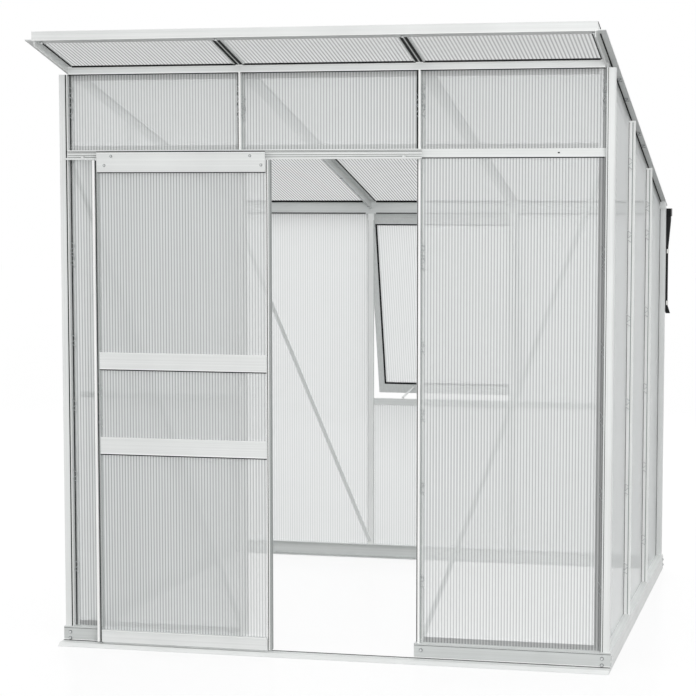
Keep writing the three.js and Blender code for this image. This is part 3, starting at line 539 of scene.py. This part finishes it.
def clip_tree():
    """A W-shaped wire along local Z that zigzags from the bar's nose out over the sheet."""
    tree, given = new_tree("wire_glazing_clips", [
        ("Wire", "NodeSocketFloat"), ("Length", "NodeSocketFloat"), ("Reach", "NodeSocketFloat"),
        ("Depth", "NodeSocketFloat"), ("Turns", "NodeSocketInt"), ("Material", "NodeSocketMaterial")])
    half = add(tree, "ShaderNodeMath", {0: given["Length"], 1: 0.5}, operation="MULTIPLY")
    down = add(tree, "ShaderNodeMath", {0: half.outputs[0], 1: -1}, operation="MULTIPLY")
    low = add(tree, "ShaderNodeCombineXYZ", {"Z": down.outputs[0]})
    high = add(tree, "ShaderNodeCombineXYZ", {"Z": half.outputs[0]})
    line = add(tree, "GeometryNodeCurvePrimitiveLine", {
        "Start": low.outputs[0], "End": high.outputs[0]})
    fine = add(tree, "GeometryNodeResampleCurve", {"Curve": line.outputs[0], "Count": 33})
    along = add(tree, "GeometryNodeSplineParameter")
    turns = add(tree, "ShaderNodeMath", {
        0: along.outputs["Factor"], 1: given["Turns"]}, operation="MULTIPLY")
    swing = add(tree, "ShaderNodeMath", {0: turns.outputs[0], 1: 1.0}, operation="PINGPONG")
    soft = add(
        tree, "ShaderNodeMapRange", {"Value": swing.outputs[0]}, interpolation_type="SMOOTHSTEP")
    over = add(tree, "ShaderNodeMath", {0: soft.outputs[0], 1: given["Reach"]}, operation="MULTIPLY")
    up = add(tree, "ShaderNodeMath", {0: 1.0, 1: soft.outputs[0]}, operation="SUBTRACT")
    rise = add(tree, "ShaderNodeMath", {0: up.outputs[0], 1: given["Depth"]}, operation="MULTIPLY")
    offset = add(tree, "ShaderNodeCombineXYZ", {"X": over.outputs[0], "Y": rise.outputs[0]})
    bent = add(tree, "GeometryNodeSetPosition", {
        "Geometry": fine.outputs[0], "Offset": offset.outputs[0]})
    radius = add(tree, "ShaderNodeMath", {0: given["Wire"], 1: 0.5}, operation="MULTIPLY")
    section = add(tree, "GeometryNodeCurvePrimitiveCircle", {
        "Resolution": 7, "Radius": radius.outputs[0]})
    wire = add(tree, "GeometryNodeCurveToMesh", {
        "Curve": bent.outputs[0], "Profile Curve": section.outputs["Curve"], "Fill Caps": True})
    return place_on_points(tree, given, wire.outputs[0])


def grow_piece(name, tree, values, rows, body):
    """Runs a geometry tree on points and keeps its result as a plain mesh on one body."""
    maker = bpy.data.objects.new(name + "_points", points_mesh(name + "_points", rows))
    bpy.context.scene.collection.objects.link(maker)
    modifier = maker.modifiers.new(tree.name, "NODES")
    modifier.node_group = tree
    for socket in tree.interface.items_tree:
        if socket.in_out == "INPUT" and socket.name in values:
            modifier[socket.identifier] = values[socket.name]
    bpy.context.view_layer.update()
    grown = maker.evaluated_get(bpy.context.evaluated_depsgraph_get())
    mesh = bpy.data.meshes.new_from_object(grown)
    maker.modifiers.clear()
    bpy.data.objects.remove(maker)
    return keep_piece(name, mesh, None, body)


def bays(edge, gap):
    """The three bays across the house, from and to, out to the edge and clear of the mullions."""
    return ((-edge, -MULLION_X - gap), (gap - MULLION_X, MULLION_X - gap), (MULLION_X + gap, edge))


def stud_top(y):
    """The height where the trim of a side wall's stud ends, just under the roof."""
    return SEAT_FRONT - FALL * y - STUD_TOP_BELOW_ROOF


class GREENHOUSE_OT_finish_frame(Operator):
    """Give every solid of the frame its finish"""

    bl_idname = "greenhouse.finish_frame"
    bl_label = "Finish the Frame"

    def execute(self, context):
        for name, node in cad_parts.items():
            if name.startswith("sheet_side"):
                finish = twin_wall("y", "side")
            elif name.startswith("sheet_roof"):
                finish = twin_wall("x", "roof")
            elif name.startswith("sheet_rear") or name == "vent_pane":
                finish = twin_wall("x", "rear")
            elif "sheet" in name:
                finish = twin_wall("x", "front")
            elif "roller" in name:
                finish = white_nylon()
            elif name in ("gutter_outlet", "downpipe"):
                finish = black_abs()
            elif name in BARS_ALONG_X:
                finish = mill_aluminium("x")
            elif name in BARS_ALONG_Y:
                finish = mill_aluminium("y")
            # The narrow bars take the lighter aluminium, as painted highlight on their noses.
            elif name.startswith(("mullion", "side_stud", "door_stile")):
                finish = mill_aluminium("z", "aluminium_bright")
            else:
                finish = mill_aluminium("z")
            node.data.materials.clear()
            node.data.materials.append(finish)
        return {"FINISHED"}


class GREENHOUSE_OT_joint_bars(Operator):
    """Add the bars that join the lower and upper sheets of the two lower front bays"""

    bl_idname = "greenhouse.joint_bars"
    bl_label = "Sheet Joint Bars"

    def execute(self, context):
        middle = 880
        half = sizes().joint_bar * 1000 / 2
        half_ridge = 2
        for name, side in (("left", -1), ("right", 1)):
            bm = bmesh.new()
            near, far = sorted((side * (MULLION_X + 14), side * (POST_X - 25.4)))
            block(bm, near, far, 32.2, 34.2, middle - half, middle + half)
            block(bm, near, far, 34.1, 34.8, middle - half_ridge, middle + half_ridge)
            finish_piece(f"sheet_joint_bar_{name}", bm, mill_aluminium("x"), "frame", 0.0004)
        return {"FINISHED"}


class GREENHOUSE_OT_seals(Operator):
    """Add the black seals of the roof, the walls, the door track and the door"""

    bl_idname = "greenhouse.seals"
    bl_label = "Glazing Seals"

    def execute(self, context):
        self.under_roof()
        self.over_roof()
        self.on_posts_and_studs()
        self.on_front_wall()
        self.on_door()
        return {"FINISHED"}

    def under_roof(self):
        wide = sizes().seal * 1000
        edge, rafter_side = 916, 19
        canopy, inside = (-246, 2), (42, 1888)
        under_sheet = (-3.2, -0.1)
        slope, level = [], []
        for side in (-1, 1):
            for depth in (canopy, inside):
                slope.append((side * (edge - wide), side * edge, *depth, *under_sheet))
            slope.append((side * 938, side * 942, -246, 1900, -6, -3.05))
            bar = side * MULLION_X
            for near, far in ((-12.6, -2.8), (2.8, 12.6)):
                slope.append((bar + near, bar + far, -245, 1, -3.7, -3.02))
            slope.append((bar - rafter_side - wide, bar - rafter_side, *inside, *under_sheet))
            slope.append((bar + rafter_side, bar + rafter_side + wide, *inside, *under_sheet))
        for x0, x1 in bays(911, 13):
            slope.append((x0, x1, 1.6, 4.8, -5.5, -0.1))
        for x0, x1 in bays(911, 24):
            slope.append((x0, x1, 1887.6, 1890.8, -7.5, -0.1))
            level.append((x0, x1, 1891.3, 1894.8, 1508.2, 1512.2))
        strips("under_roof_seals", level, epdm_rubber(), "frame", on_slope=slope)

    def over_roof(self):
        on_sheet = (6.4, 9.2)
        slope = []
        for side in (-1, 1):
            slope.append((side * 932.9, side * 928.6, *ROOF_SEAL_DEPTH, *on_sheet))
            slope.append((side * 936.05, side * 937, *ROOF_SEAL_DEPTH, 20, 23.8))
            bar = side * MULLION_X
            slope.append((bar - 6, bar - 1.55, *ROOF_SEAL_DEPTH, *on_sheet))
            slope.append((bar + 1.55, bar + 6, *ROOF_SEAL_DEPTH, *on_sheet))
        strips("over_roof_seals", [], epdm_rubber(), "frame", on_slope=slope)

    def on_posts_and_studs(self):
        front = (BASE_TOP, FRONT_WALL_TOP)
        rear = (BASE_TOP, REAR_WALL_TOP)
        rows = []
        for side in (-1, 1):
            rows.append((side * 936.1, side * 937.9, 5.2, 6.45, *front))
            rows.append((side * 926.6, side * 929.8, 25.8, 27.9, *front))
            rows.append((side * 936.1, side * 937.9, BASE_DEPTH - 6.45, BASE_DEPTH - 5.2, *rear))
            rows.append((side * 937.1, side * 938.2, 1891.8, 1894.8, BASE_TOP, 1530))
            for y in STUDS_Y:
                rows.append((side * 937.1, side * 938.2, y - 4.6, y - 1.6, BASE_TOP, stud_top(y)))
                rows.append((side * 937.1, side * 938.2, y + 1.6, y + 4.6, BASE_TOP, stud_top(y)))
        # Painted shade: a black strip on the inner part of the left post's face.
        rows.append((-937.2, -933.8, 4.5, 5.02, *front))
        strips("post_and_stud_seals", rows, epdm_rubber(), "frame")
        # Painted shade: the grey strips on the right post's face, beside the mullions' noses, at the rear
        # mullions' edges and beside the studs.
        rows = [(930.2, 932.4, 4.5, 5.02, *front)]
        for bar in (-MULLION_X, MULLION_X):
            rows.append((bar + 1.7, bar + 4.5, 25.5, 27.3, BASE_TOP, 1690))
            rows.append((bar + 1.7, bar + 4.5, 25.5, 27.3, TRANSOM_TOP, 1981))
            for edge in (bar - 12.9, bar + 12.9):
                rows.append((edge - 0.8, edge + 0.8, 1894.3, 1894.95, BASE_TOP, 1480))
        for side in (-1, 1):
            for y in STUDS_Y:
                rows.append((side * 949, side * 952.5, y - 2.4, y - 1.55, BASE_TOP, stud_top(y)))
        strips("post_and_stud_gaskets", rows, grey_painted_shade(), "frame")

    def on_front_wall(self):
        track = (-929.2, 319.5)
        rows = [
            # Painted shade: the four black lines along the door track, where its grooves and brow are in
            # shade.
            (*track, -3.25, -2.8, 1720.6, 1722),
            (*track, 1.7, 2.1, 1707.6, 1708.8),
            (*track, 1.7, 2.1, 1700.4, 1701.6),
            (*track, 1.7, 2.1, 1717, 1718.4),
            # Painted shade: a black line under the right transom, one along the sill's top edge, and a
            # black block for the shade in a hole of the right transom.
            (315.6, 924, 25.2, 27.9, 1694.6, 1697.8),
            (-964.5, 964.5, -9, -1.5, 12.02, 12.6),
            (770.5, 777.5, 24.4, 24.98, 1709.6, 1714),
        ]
        for x0, x1 in FRONT_BAYS:
            rows.append((x0, x1, 5.2, 8, 1981.6, 1984.8))
        # Painted shade: a black strip on the left of each mullion, above the transom.
        for bar in (-MULLION_X, MULLION_X):
            rows.append((bar - 13.8, bar - 9.6, 26.9, 27.9, TRANSOM_TOP, 1984.4))
        for side in (-1, 1):
            near, far = side * (MULLION_X - 12.2), side * (MULLION_X - 9.6)
            rows.append((near, far, 30.9, 31.9, BASE_TOP, 1692))
            rows.append((side * 297.2, side * 964.8, -1.1, -0.95, 54.6, 55.8))
        strips("front_wall_seals", rows, epdm_rubber(), "frame")

    def on_door(self):
        left, right = DOOR_RAIL_ENDS
        rows = [
            (left - 8.1, left - 4.7, *STILE_SEAL_DEPTH, *STILE_SEAL_HEIGHT),
            (right + 2.9, right + 5.1, *STILE_SEAL_DEPTH, *STILE_SEAL_HEIGHT),
            # Painted shade: black lines over and under the hanger rail, and under each mid rail below.
            (left, right, -39.6, -37.2, 1716.9, 1719.9),
            (left, right, -33, -28.1, 1647.4, 1649.9),
        ]
        for z in DOOR_MID_RAILS:
            rows.append((left, right, -31.6, -28.1, z - 3.5, z - 0.1))
        strips("door_seals", rows, epdm_rubber(), "door")
        # Painted shade: grey strips on the stiles' recess, nose and side, and along the left edge of the
        # door's sheet.
        rows = [
            (left - 4.5, left - 0.5, -31.7, -31.02, *STILE_SEAL_HEIGHT),
            (left - 0.2, left + 4.2, -27.95, -27.72, 62.5, 1649.5),
            (right + 11.7, right + 16.0, -40.5, -39.98, *STILE_SEAL_HEIGHT),
            (right + 16.25, right + 16.8, -39.8, -18, *STILE_SEAL_HEIGHT),
        ]
        strips("door_gaskets", rows, grey_painted_shade(), "door")


class GREENHOUSE_OT_painted_shade_strips(Operator):
    """Add the tapes that close the ends of the front sheets' flutes, and one beside the right post"""

    bl_idname = "greenhouse.edge_tapes"
    bl_label = "Sheet Edge Tapes"

    def execute(self, context):
        # Painted shade: strips of the same sheet, darker and closed, over the front sheets' ends under
        # the eave, over the transom and above the base, and down beside the right post.
        low, high = [], []
        for bay in SHEET_BAYS:
            high.append((*bay, *PAINTED_SHADE_DEPTH, 1965, 1981.4))
            high.append((*bay, *PAINTED_SHADE_DEPTH, TRANSOM_TOP, 1742))
        for bay in (SHEET_BAYS[0], SHEET_BAYS[2]):
            low.append((*bay, *PAINTED_SHADE_DEPTH, 61.3, 79))
        beside_post = (905, 925.9)
        low.append((*beside_post, *PAINTED_SHADE_DEPTH, 61.3, 1694))
        strips("front_sheet_low_tapes", low, twin_wall("x", "low_tape"), "frame")
        strips("front_sheet_high_tapes", high, twin_wall("x", "high_tape"), "frame")
        return {"FINISHED"}


class GREENHOUSE_OT_painted_highlights(Operator):
    """Add the thin bright lips along the edges of the bars"""

    bl_idname = "greenhouse.lips"
    bl_label = "Bright Lips"

    def execute(self, context):
        # Each lip is a strip of the lighter aluminium along an edge of a bar: painted highlight.
        level = [
            (-926, 926, 4.2, 5.02, 2006.9, 2010),
            (-926, 926, 4.2, 5.02, 1985.1, 1988),
            (-935.8, 935.8, -280.9, -278.4, 2076.6, 2079),
        ]
        slope = []
        for side in (-1, 1):
            slope.append((side * 926.5, side * 929.9, -277, 1924, -21.4, -19.3))
            level.append((side * 297.2, side * 964.8, -1.6, -0.85, 12.8, 15.6))
        finish = mill_aluminium("x", "aluminium_bright")
        strips("frame_lips", level, finish, "frame", on_slope=slope)
        left, right = DOOR_RAIL_ENDS
        rows = [
            (left, right, -40.8, -39.98, 1714.6, 1716.85),
            (left, right, -40.8, -39.98, 59.5, 61.9),
        ]
        for z in DOOR_MID_RAILS:
            rows.append((left, right, -32.8, -31.98, z + 0.1, z + 2.5))
            rows.append((left, right, -32.8, -31.98, z + 55.5, z + 57.9))
        strips("door_lips", rows, finish, "door")
        return {"FINISHED"}


class GREENHOUSE_OT_base_plates(Operator):
    """Add the thin plates on the face of the base, and the caps of the rear posts"""

    bl_idname = "greenhouse.base_plates"
    bl_label = "Base Plates and Post Caps"

    def execute(self, context):
        self.plates()
        self.caps()
        return {"FINISHED"}

    def plates(self):
        rows = []
        for side in (-1, 1):
            rows.append((side * 297.1, side * 964.9, -0.95, 0.02, 12.7, 54.4))
            rows.append((side * 297.1, side * 964.9, -0.95, 0.02, 56, 60.9))
        finish = mill_aluminium("x", "aluminium_dull")
        strips("front_base_plates", rows, finish, "frame")

    def caps(self):
        """Each cap fills the wedge between a level post end and the sloping roof."""
        post_end = 1.5326
        bm = bmesh.new()
        for side in (-1, 1):
            top = [on_roof(x, y, -3.4) for y in (1882.2, 1924.8) for x in (side * 937.6, side * 959.9)]
            foot = [Vector((corner.x, corner.y, post_end)) for corner in top]
            hexahedron(bm, foot + top)
        finish_piece("rear_post_caps", bm, mill_aluminium("z"), "frame", 0.0004)


class GREENHOUSE_OT_wire_clips(Operator):
    """Add the wire clips that press the sheets against the bars"""

    bl_idname = "greenhouse.wire_clips"
    bl_label = "Wire Glazing Clips"

    def execute(self, context):
        own = sizes()
        values = {
            "Wire": own.wire, "Length": own.clip_length, "Reach": own.clip_reach,
            "Depth": own.clip_depth, "Turns": own.clip_turns, "Material": spring_wire()}
        tree = clip_tree()
        rows = self.on_front_wall() + self.on_side_walls() + self.on_rear_wall()
        grow_piece("wire_glazing_clips", tree, values, rows, "frame")
        # There is less room under the roof and on the door, so those clips are flatter.
        values["Depth"] = own.clip_depth / 3
        # These clips are darker: painted shade under the overhang.
        values["Material"] = painted_shade_steel()
        grow_piece("edge_beam_clips", tree, values, self.on_edge_beams(), "frame")
        values["Material"] = spring_wire()
        grow_piece("door_clips", tree, values, self.on_door(), "door")
        return {"FINISHED"}

    def on_front_wall(self):
        """The clips where the photograph shows them, on the posts' and the mullions' noses."""
        rightward, leftward = (math.pi, 0, 0), (0, 0, math.pi)
        rows = []
        for z in (1923, 1889, 1854, 1389, 1346, 1067, 839, 591, 270):
            rows.append((at(-POST_X + 1.5, 26.5, z), rightward))
            rows.append((at(MULLION_X + 4.5, 26.5, z), rightward))
            rows.append((at(-MULLION_X - 4.5, 26.5, z), leftward))
            rows.append((at(POST_X - 1.5, 26.5, z), leftward))
        for z in (1888, 1850):
            rows.append((at(-MULLION_X + 4.5, 26.5, z), rightward))
            rows.append((at(MULLION_X - 4.5, 26.5, z), leftward))
        return rows

    def on_side_walls(self):
        half = math.pi / 2
        rows = []
        for y, top in zip(STUDS_Y, (1690, 1540)):
            for z in (230, 520, 830, 1130, 1430, top):
                for side in (-1, 1):
                    x = side * 938.5
                    rows.append((at(x, y + 4.5, z), (math.pi * (side > 0), 0, half)))
                    rows.append((at(x, y - 4.5, z), (math.pi * (side < 0), 0, -half)))
        return rows

    def on_rear_wall(self):
        y = BASE_DEPTH - 26.5
        rows = []
        for z in (250, 560, 900, 1200):
            for x in (-POST_X + 1.5, MULLION_X + 4.5):
                rows.append((at(x, y, z), (0, 0, 0)))
            for x in (-MULLION_X - 4.5, POST_X - 1.5):
                rows.append((at(x, y, z), (math.pi, 0, math.pi)))
        return rows

    def on_edge_beams(self):
        """The marks that the photograph shows under the overhang of the roof edge beams."""
        along_slope = (math.atan2(-1, -FALL), 0, 0)
        return [(on_roof(x, y, -3.9), along_slope) for x in (944, -955) for y in (217, 440, 865, 1028)]

    def on_door(self):
        x = DOOR_RAIL_ENDS[0] - 3
        return [(at(x, -31.9, z), (math.pi, 0, 0)) for z in (902, 798)]


class GREENHOUSE_OT_bolts(Operator):
    """Add the bolts of the base, the roof bars and the door's hanger rail"""

    bl_idname = "greenhouse.bolts"
    bl_label = "Bolts"

    def execute(self, context):
        half = math.pi / 2
        front, right, down, rear = (half, 0, 0), (0, half, 0), (math.pi, 0, 0), (-half, 0, 0)
        rows = []
        plate_face, rear_face, side_face = -1.1, BASE_DEPTH + 0.1, 965.1
        for z in (19, 41):
            for x in (-941, 936):
                rows.append((at(x, plate_face, z), front))
                rows.append((at(x, rear_face, z), rear))
            for y in (14, BASE_DEPTH - 14):
                rows.append((at(side_face, y, z), right))
        for x in (-321.3, 321.3):
            rows.append((at(x, plate_face, 39), front))
        for x in (-911, -308.5, 312, 921):
            rows.append((on_roof(x, -256, -3.2), down))
        for x in (-MULLION_X, MULLION_X):
            for y in (1380, 1850):
                rows.append((on_roof(x, y, -34.2), down))
        own = sizes()
        self.fasten("frame", rows, own.bolt_head, own.bolt_height)
        middle = sum(DOOR_RAIL_ENDS) / 2
        hanger_face = -40.1
        rows = []
        for x, z in ((-247, 1704), (247, 1704), (-272, 1673), (286, 1673)):
            rows.append((at(middle + x, hanger_face, z), front))
        self.fasten("door", rows, own.door_bolt_head, own.door_bolt_height)
        return {"FINISHED"}

    def fasten(self, body, rows, head, height):
        """Puts a bolt head and its washer on each point."""
        own = sizes()
        values = {"Width": head, "Height": height, "Material": zinc_plate()}
        grow_piece(f"{body}_bolt_heads", bolt_tree(), values, rows, body)
        # The washer is darker than its head: painted shade round the head.
        values = {
            "Width": head + 2 * own.washer_margin, "Height": own.washer_thickness,
            "Material": painted_shade_steel()}
        grow_piece(f"{body}_bolt_washers", washer_tree(), values, rows, body)


class GREENHOUSE_OT_pipe_clips(Operator):
    """Add the white bands of the downpipe's two clips"""

    bl_idname = "greenhouse.pipe_clips"
    bl_label = "Pipe Clips"

    def execute(self, context):
        pipe_x, pipe_y = 959, 1948
        radius, tall = 0.0121, 0.018
        bm = bmesh.new()
        for middle in (1353, 1135):
            place = Matrix.Translation(at(pipe_x, pipe_y, middle))
            bmesh.ops.create_cone(
                bm, cap_ends=True, cap_tris=False, segments=32, radius1=radius, radius2=radius,
                depth=tall, matrix=place)
        finish_piece("downpipe_clip_bands", bm, white_nylon(), "frame", 0.0008)
        return {"FINISHED"}


class GREENHOUSE_OT_vent_trim(Operator):
    """Add the gasket round the vent's pane, inside and outside"""

    bl_idname = "greenhouse.vent_trim"
    bl_label = "Vent Trim"

    def execute(self, context):
        lean = math.radians(VENT_LEAN)
        hinge_height = 1492
        hinge = at(0, BASE_DEPTH, hinge_height)

        def in_sash(x, y, z):
            """A place in the sash, in millimetres from the hinge, as it hangs at rest."""
            turned = Matrix.Rotation(lean, 3, "X") @ Vector((x, y, z))
            return hinge + turned / 1000

        half, bottom, top, wide = 301.4, -766.4, -29.4, 6
        inner_face, outer_face = (-1.6, 2.3), (6.8, 10.4)
        edges = (
            (-half, half, bottom, bottom + wide),
            (-half, half, top - wide, top),
            (-half, wide - half, bottom + wide, top - wide),
            (half - wide, half, bottom + wide, top - wide),
        )
        bm = bmesh.new()
        for x0, x1, z0, z1 in edges:
            for y0, y1 in (inner_face, outer_face):
                corners = [in_sash(x, y, z) for z in (z0, z1) for y in (y0, y1) for x in (x0, x1)]
                hexahedron(bm, corners)
        finish_piece("vent_pane_gasket", bm, epdm_rubber(), "vent")
        return {"FINISHED"}


class GREENHOUSE_OT_stage(Operator):
    """Set up the plain floor, the soft lamps, the white surroundings and the camera"""

    bl_idname = "greenhouse.stage"
    bl_label = "Studio and Camera"

    def execute(self, context):
        self.white_world(context)
        self.floor()
        self.lamp("front_softbox", studio().key, at(2600, -5600, 1900))
        self.lamp("rear_softbox", studio().rear, at(-900, 6600, 3600))
        self.camera(context)
        context.scene.view_settings.view_transform = "Standard"
        return {"FINISHED"}

    def shown(self, tree):
        """One for what the camera sees, straight, in a reflection or through a sheet."""
        ray = add(tree, "ShaderNodeLightPath").outputs
        seen = add(tree, "ShaderNodeMath", {
            0: ray["Is Camera Ray"], 1: ray["Is Glossy Ray"]}, operation="MAXIMUM")
        both = add(tree, "ShaderNodeMath", {
            0: seen.outputs[0], 1: ray["Is Transmission Ray"]}, operation="MAXIMUM")
        return both.outputs[0]

    def white_world(self, context):
        world = bpy.data.worlds.new("white_surroundings")
        world.use_nodes = True
        tree = world.node_tree
        tree.nodes.clear()
        level = add(tree, "ShaderNodeMapRange", {
            "Value": self.shown(tree), "To Min": studio().sky, "To Max": 1.0})
        light = add(tree, "ShaderNodeBackground", {
            "Color": (1, 1, 1, 1), "Strength": level.outputs[0]})
        add(tree, "ShaderNodeOutputWorld", {"Surface": light.outputs[0]})
        context.scene.world = world

    def floor(self):
        material, tree = new_material("studio_floor")
        place = add(tree, "ShaderNodeTexCoord").outputs["Object"]
        clouds = add(tree, "ShaderNodeTexNoise", {"Vector": place, "Scale": 0.8, "Detail": 2.0})
        rough = add(tree, "ShaderNodeMapRange", {
            "Value": clouds.outputs["Fac"], "To Min": 0.12, "To Max": 0.2})
        tint = add(tree, "ShaderNodeMix", {
            0: self.shown(tree), 6: opaque(colours().floor_bounce), 7: opaque(colours().floor),
        }, data_type="RGBA")
        paint = add(tree, "ShaderNodeBsdfPrincipled", {
            "Base Color": tint.outputs[2], "Roughness": rough.outputs[0], "IOR": 1.35})
        glow = add(tree, "ShaderNodeEmission", {"Color": (1, 1, 1, 1), "Strength": 1.0})
        share = add(tree, "ShaderNodeMath", {
            0: self.shown(tree), 1: studio().floor_glow}, operation="MULTIPLY")
        both = add(tree, "ShaderNodeMixShader", {
            0: share.outputs[0], 1: paint.outputs[0], 2: glow.outputs[0]})
        add(tree, "ShaderNodeOutputMaterial", {"Surface": both.outputs[0]})
        mesh = bpy.data.meshes.new("studio_floor")
        far = 40
        corners = [(-far, -far, 0), (far, -far, 0), (far, far, 0), (-far, far, 0)]
        mesh.from_pydata(corners, [], [(0, 1, 2, 3)])
        mesh.materials.append(material)
        floor = bpy.data.objects.new("studio_floor", mesh)
        bpy.context.scene.collection.objects.link(floor)

    def lamp(self, name, power, place):
        """Adds a square softbox that looks at the middle of the house."""
        target = at(0, 900, 1000)
        data = bpy.data.lights.new(name, "AREA")
        data.energy = power
        data.shape = "SQUARE"
        data.size = 4.0
        lamp = bpy.data.objects.new(name, data)
        lamp.location = place
        lamp.visible_glossy = False
        lamp.visible_transmission = False
        lamp.rotation_euler = (target - place).to_track_quat("-Z", "Y").to_euler()
        bpy.context.scene.collection.objects.link(lamp)

    def camera(self, context):
        own = studio()
        data = bpy.data.cameras.new("camera")
        data.sensor_width = 36
        data.lens = own.lens
        data.shift_x, data.shift_y = own.shift
        yaw, pitch, roll = own.camera_yaw, own.camera_pitch, own.camera_roll
        flat = math.cos(pitch)
        ahead = Vector((-math.sin(yaw) * flat, math.cos(yaw) * flat, -math.sin(pitch)))
        level = Vector((math.cos(yaw), math.sin(yaw), 0))
        upright = level.cross(ahead)
        right = math.cos(roll) * level + math.sin(roll) * upright
        up = math.cos(roll) * upright - math.sin(roll) * level
        camera = bpy.data.objects.new("camera", data)
        turn = Matrix((right, up, -ahead)).transposed()
        camera.matrix_world = Matrix.Translation(own.camera_place) @ turn.to_4x4()
        context.scene.collection.objects.link(camera)
        context.scene.camera = camera


STEPS = (
    GREENHOUSE_OT_finish_frame,
    GREENHOUSE_OT_joint_bars,
    GREENHOUSE_OT_seals,
    GREENHOUSE_OT_painted_shade_strips,
    GREENHOUSE_OT_painted_highlights,
    GREENHOUSE_OT_base_plates,
    GREENHOUSE_OT_wire_clips,
    GREENHOUSE_OT_bolts,
    GREENHOUSE_OT_pipe_clips,
    GREENHOUSE_OT_vent_trim,
    GREENHOUSE_OT_stage,
)


class GREENHOUSE_PT_sidebar(Panel):
    """Lists the greenhouse's pieces, sizes and colours"""

    bl_idname = "GREENHOUSE_PT_sidebar"
    bl_label = "Greenhouse"
    bl_space_type = "VIEW_3D"
    bl_region_type = "UI"
    bl_category = "Greenhouse"

    def draw(self, context):
        layout = self.layout
        for step in STEPS:
            layout.operator(step.bl_idname)
        for group in (colours(), sizes(), studio()):
            box = layout.box()
            for name in group.bl_rna.properties.keys():
                if name not in ("rna_type", "name"):
                    box.prop(group, name)


CLASSES = (GreenhouseColours, GreenhouseSizes, GreenhouseStudio) + STEPS + (GREENHOUSE_PT_sidebar,)


def register():
    for kind in CLASSES:
        bpy.utils.register_class(kind)
    bpy.types.Scene.greenhouse_colours = PointerProperty(type=GreenhouseColours)
    bpy.types.Scene.greenhouse_sizes = PointerProperty(type=GreenhouseSizes)
    bpy.types.Scene.greenhouse_studio = PointerProperty(type=GreenhouseStudio)


def unregister():
    del bpy.types.Scene.greenhouse_colours
    del bpy.types.Scene.greenhouse_sizes
    del bpy.types.Scene.greenhouse_studio
    for kind in reversed(CLASSES):
        bpy.utils.unregister_class(kind)


def main():
    """Makes every piece and the stage, and writes the box of the solids and of the finished model."""
    register()
    bpy.ops.greenhouse.finish_frame()
    bpy.ops.greenhouse.joint_bars()
    bpy.ops.greenhouse.seals()
    bpy.ops.greenhouse.edge_tapes()
    bpy.ops.greenhouse.lips()
    bpy.ops.greenhouse.base_plates()
    bpy.ops.greenhouse.wire_clips()
    bpy.ops.greenhouse.bolts()
    bpy.ops.greenhouse.pipe_clips()
    bpy.ops.greenhouse.vent_trim()
    bpy.ops.greenhouse.stage()


if __name__ == "__main__":
    main()
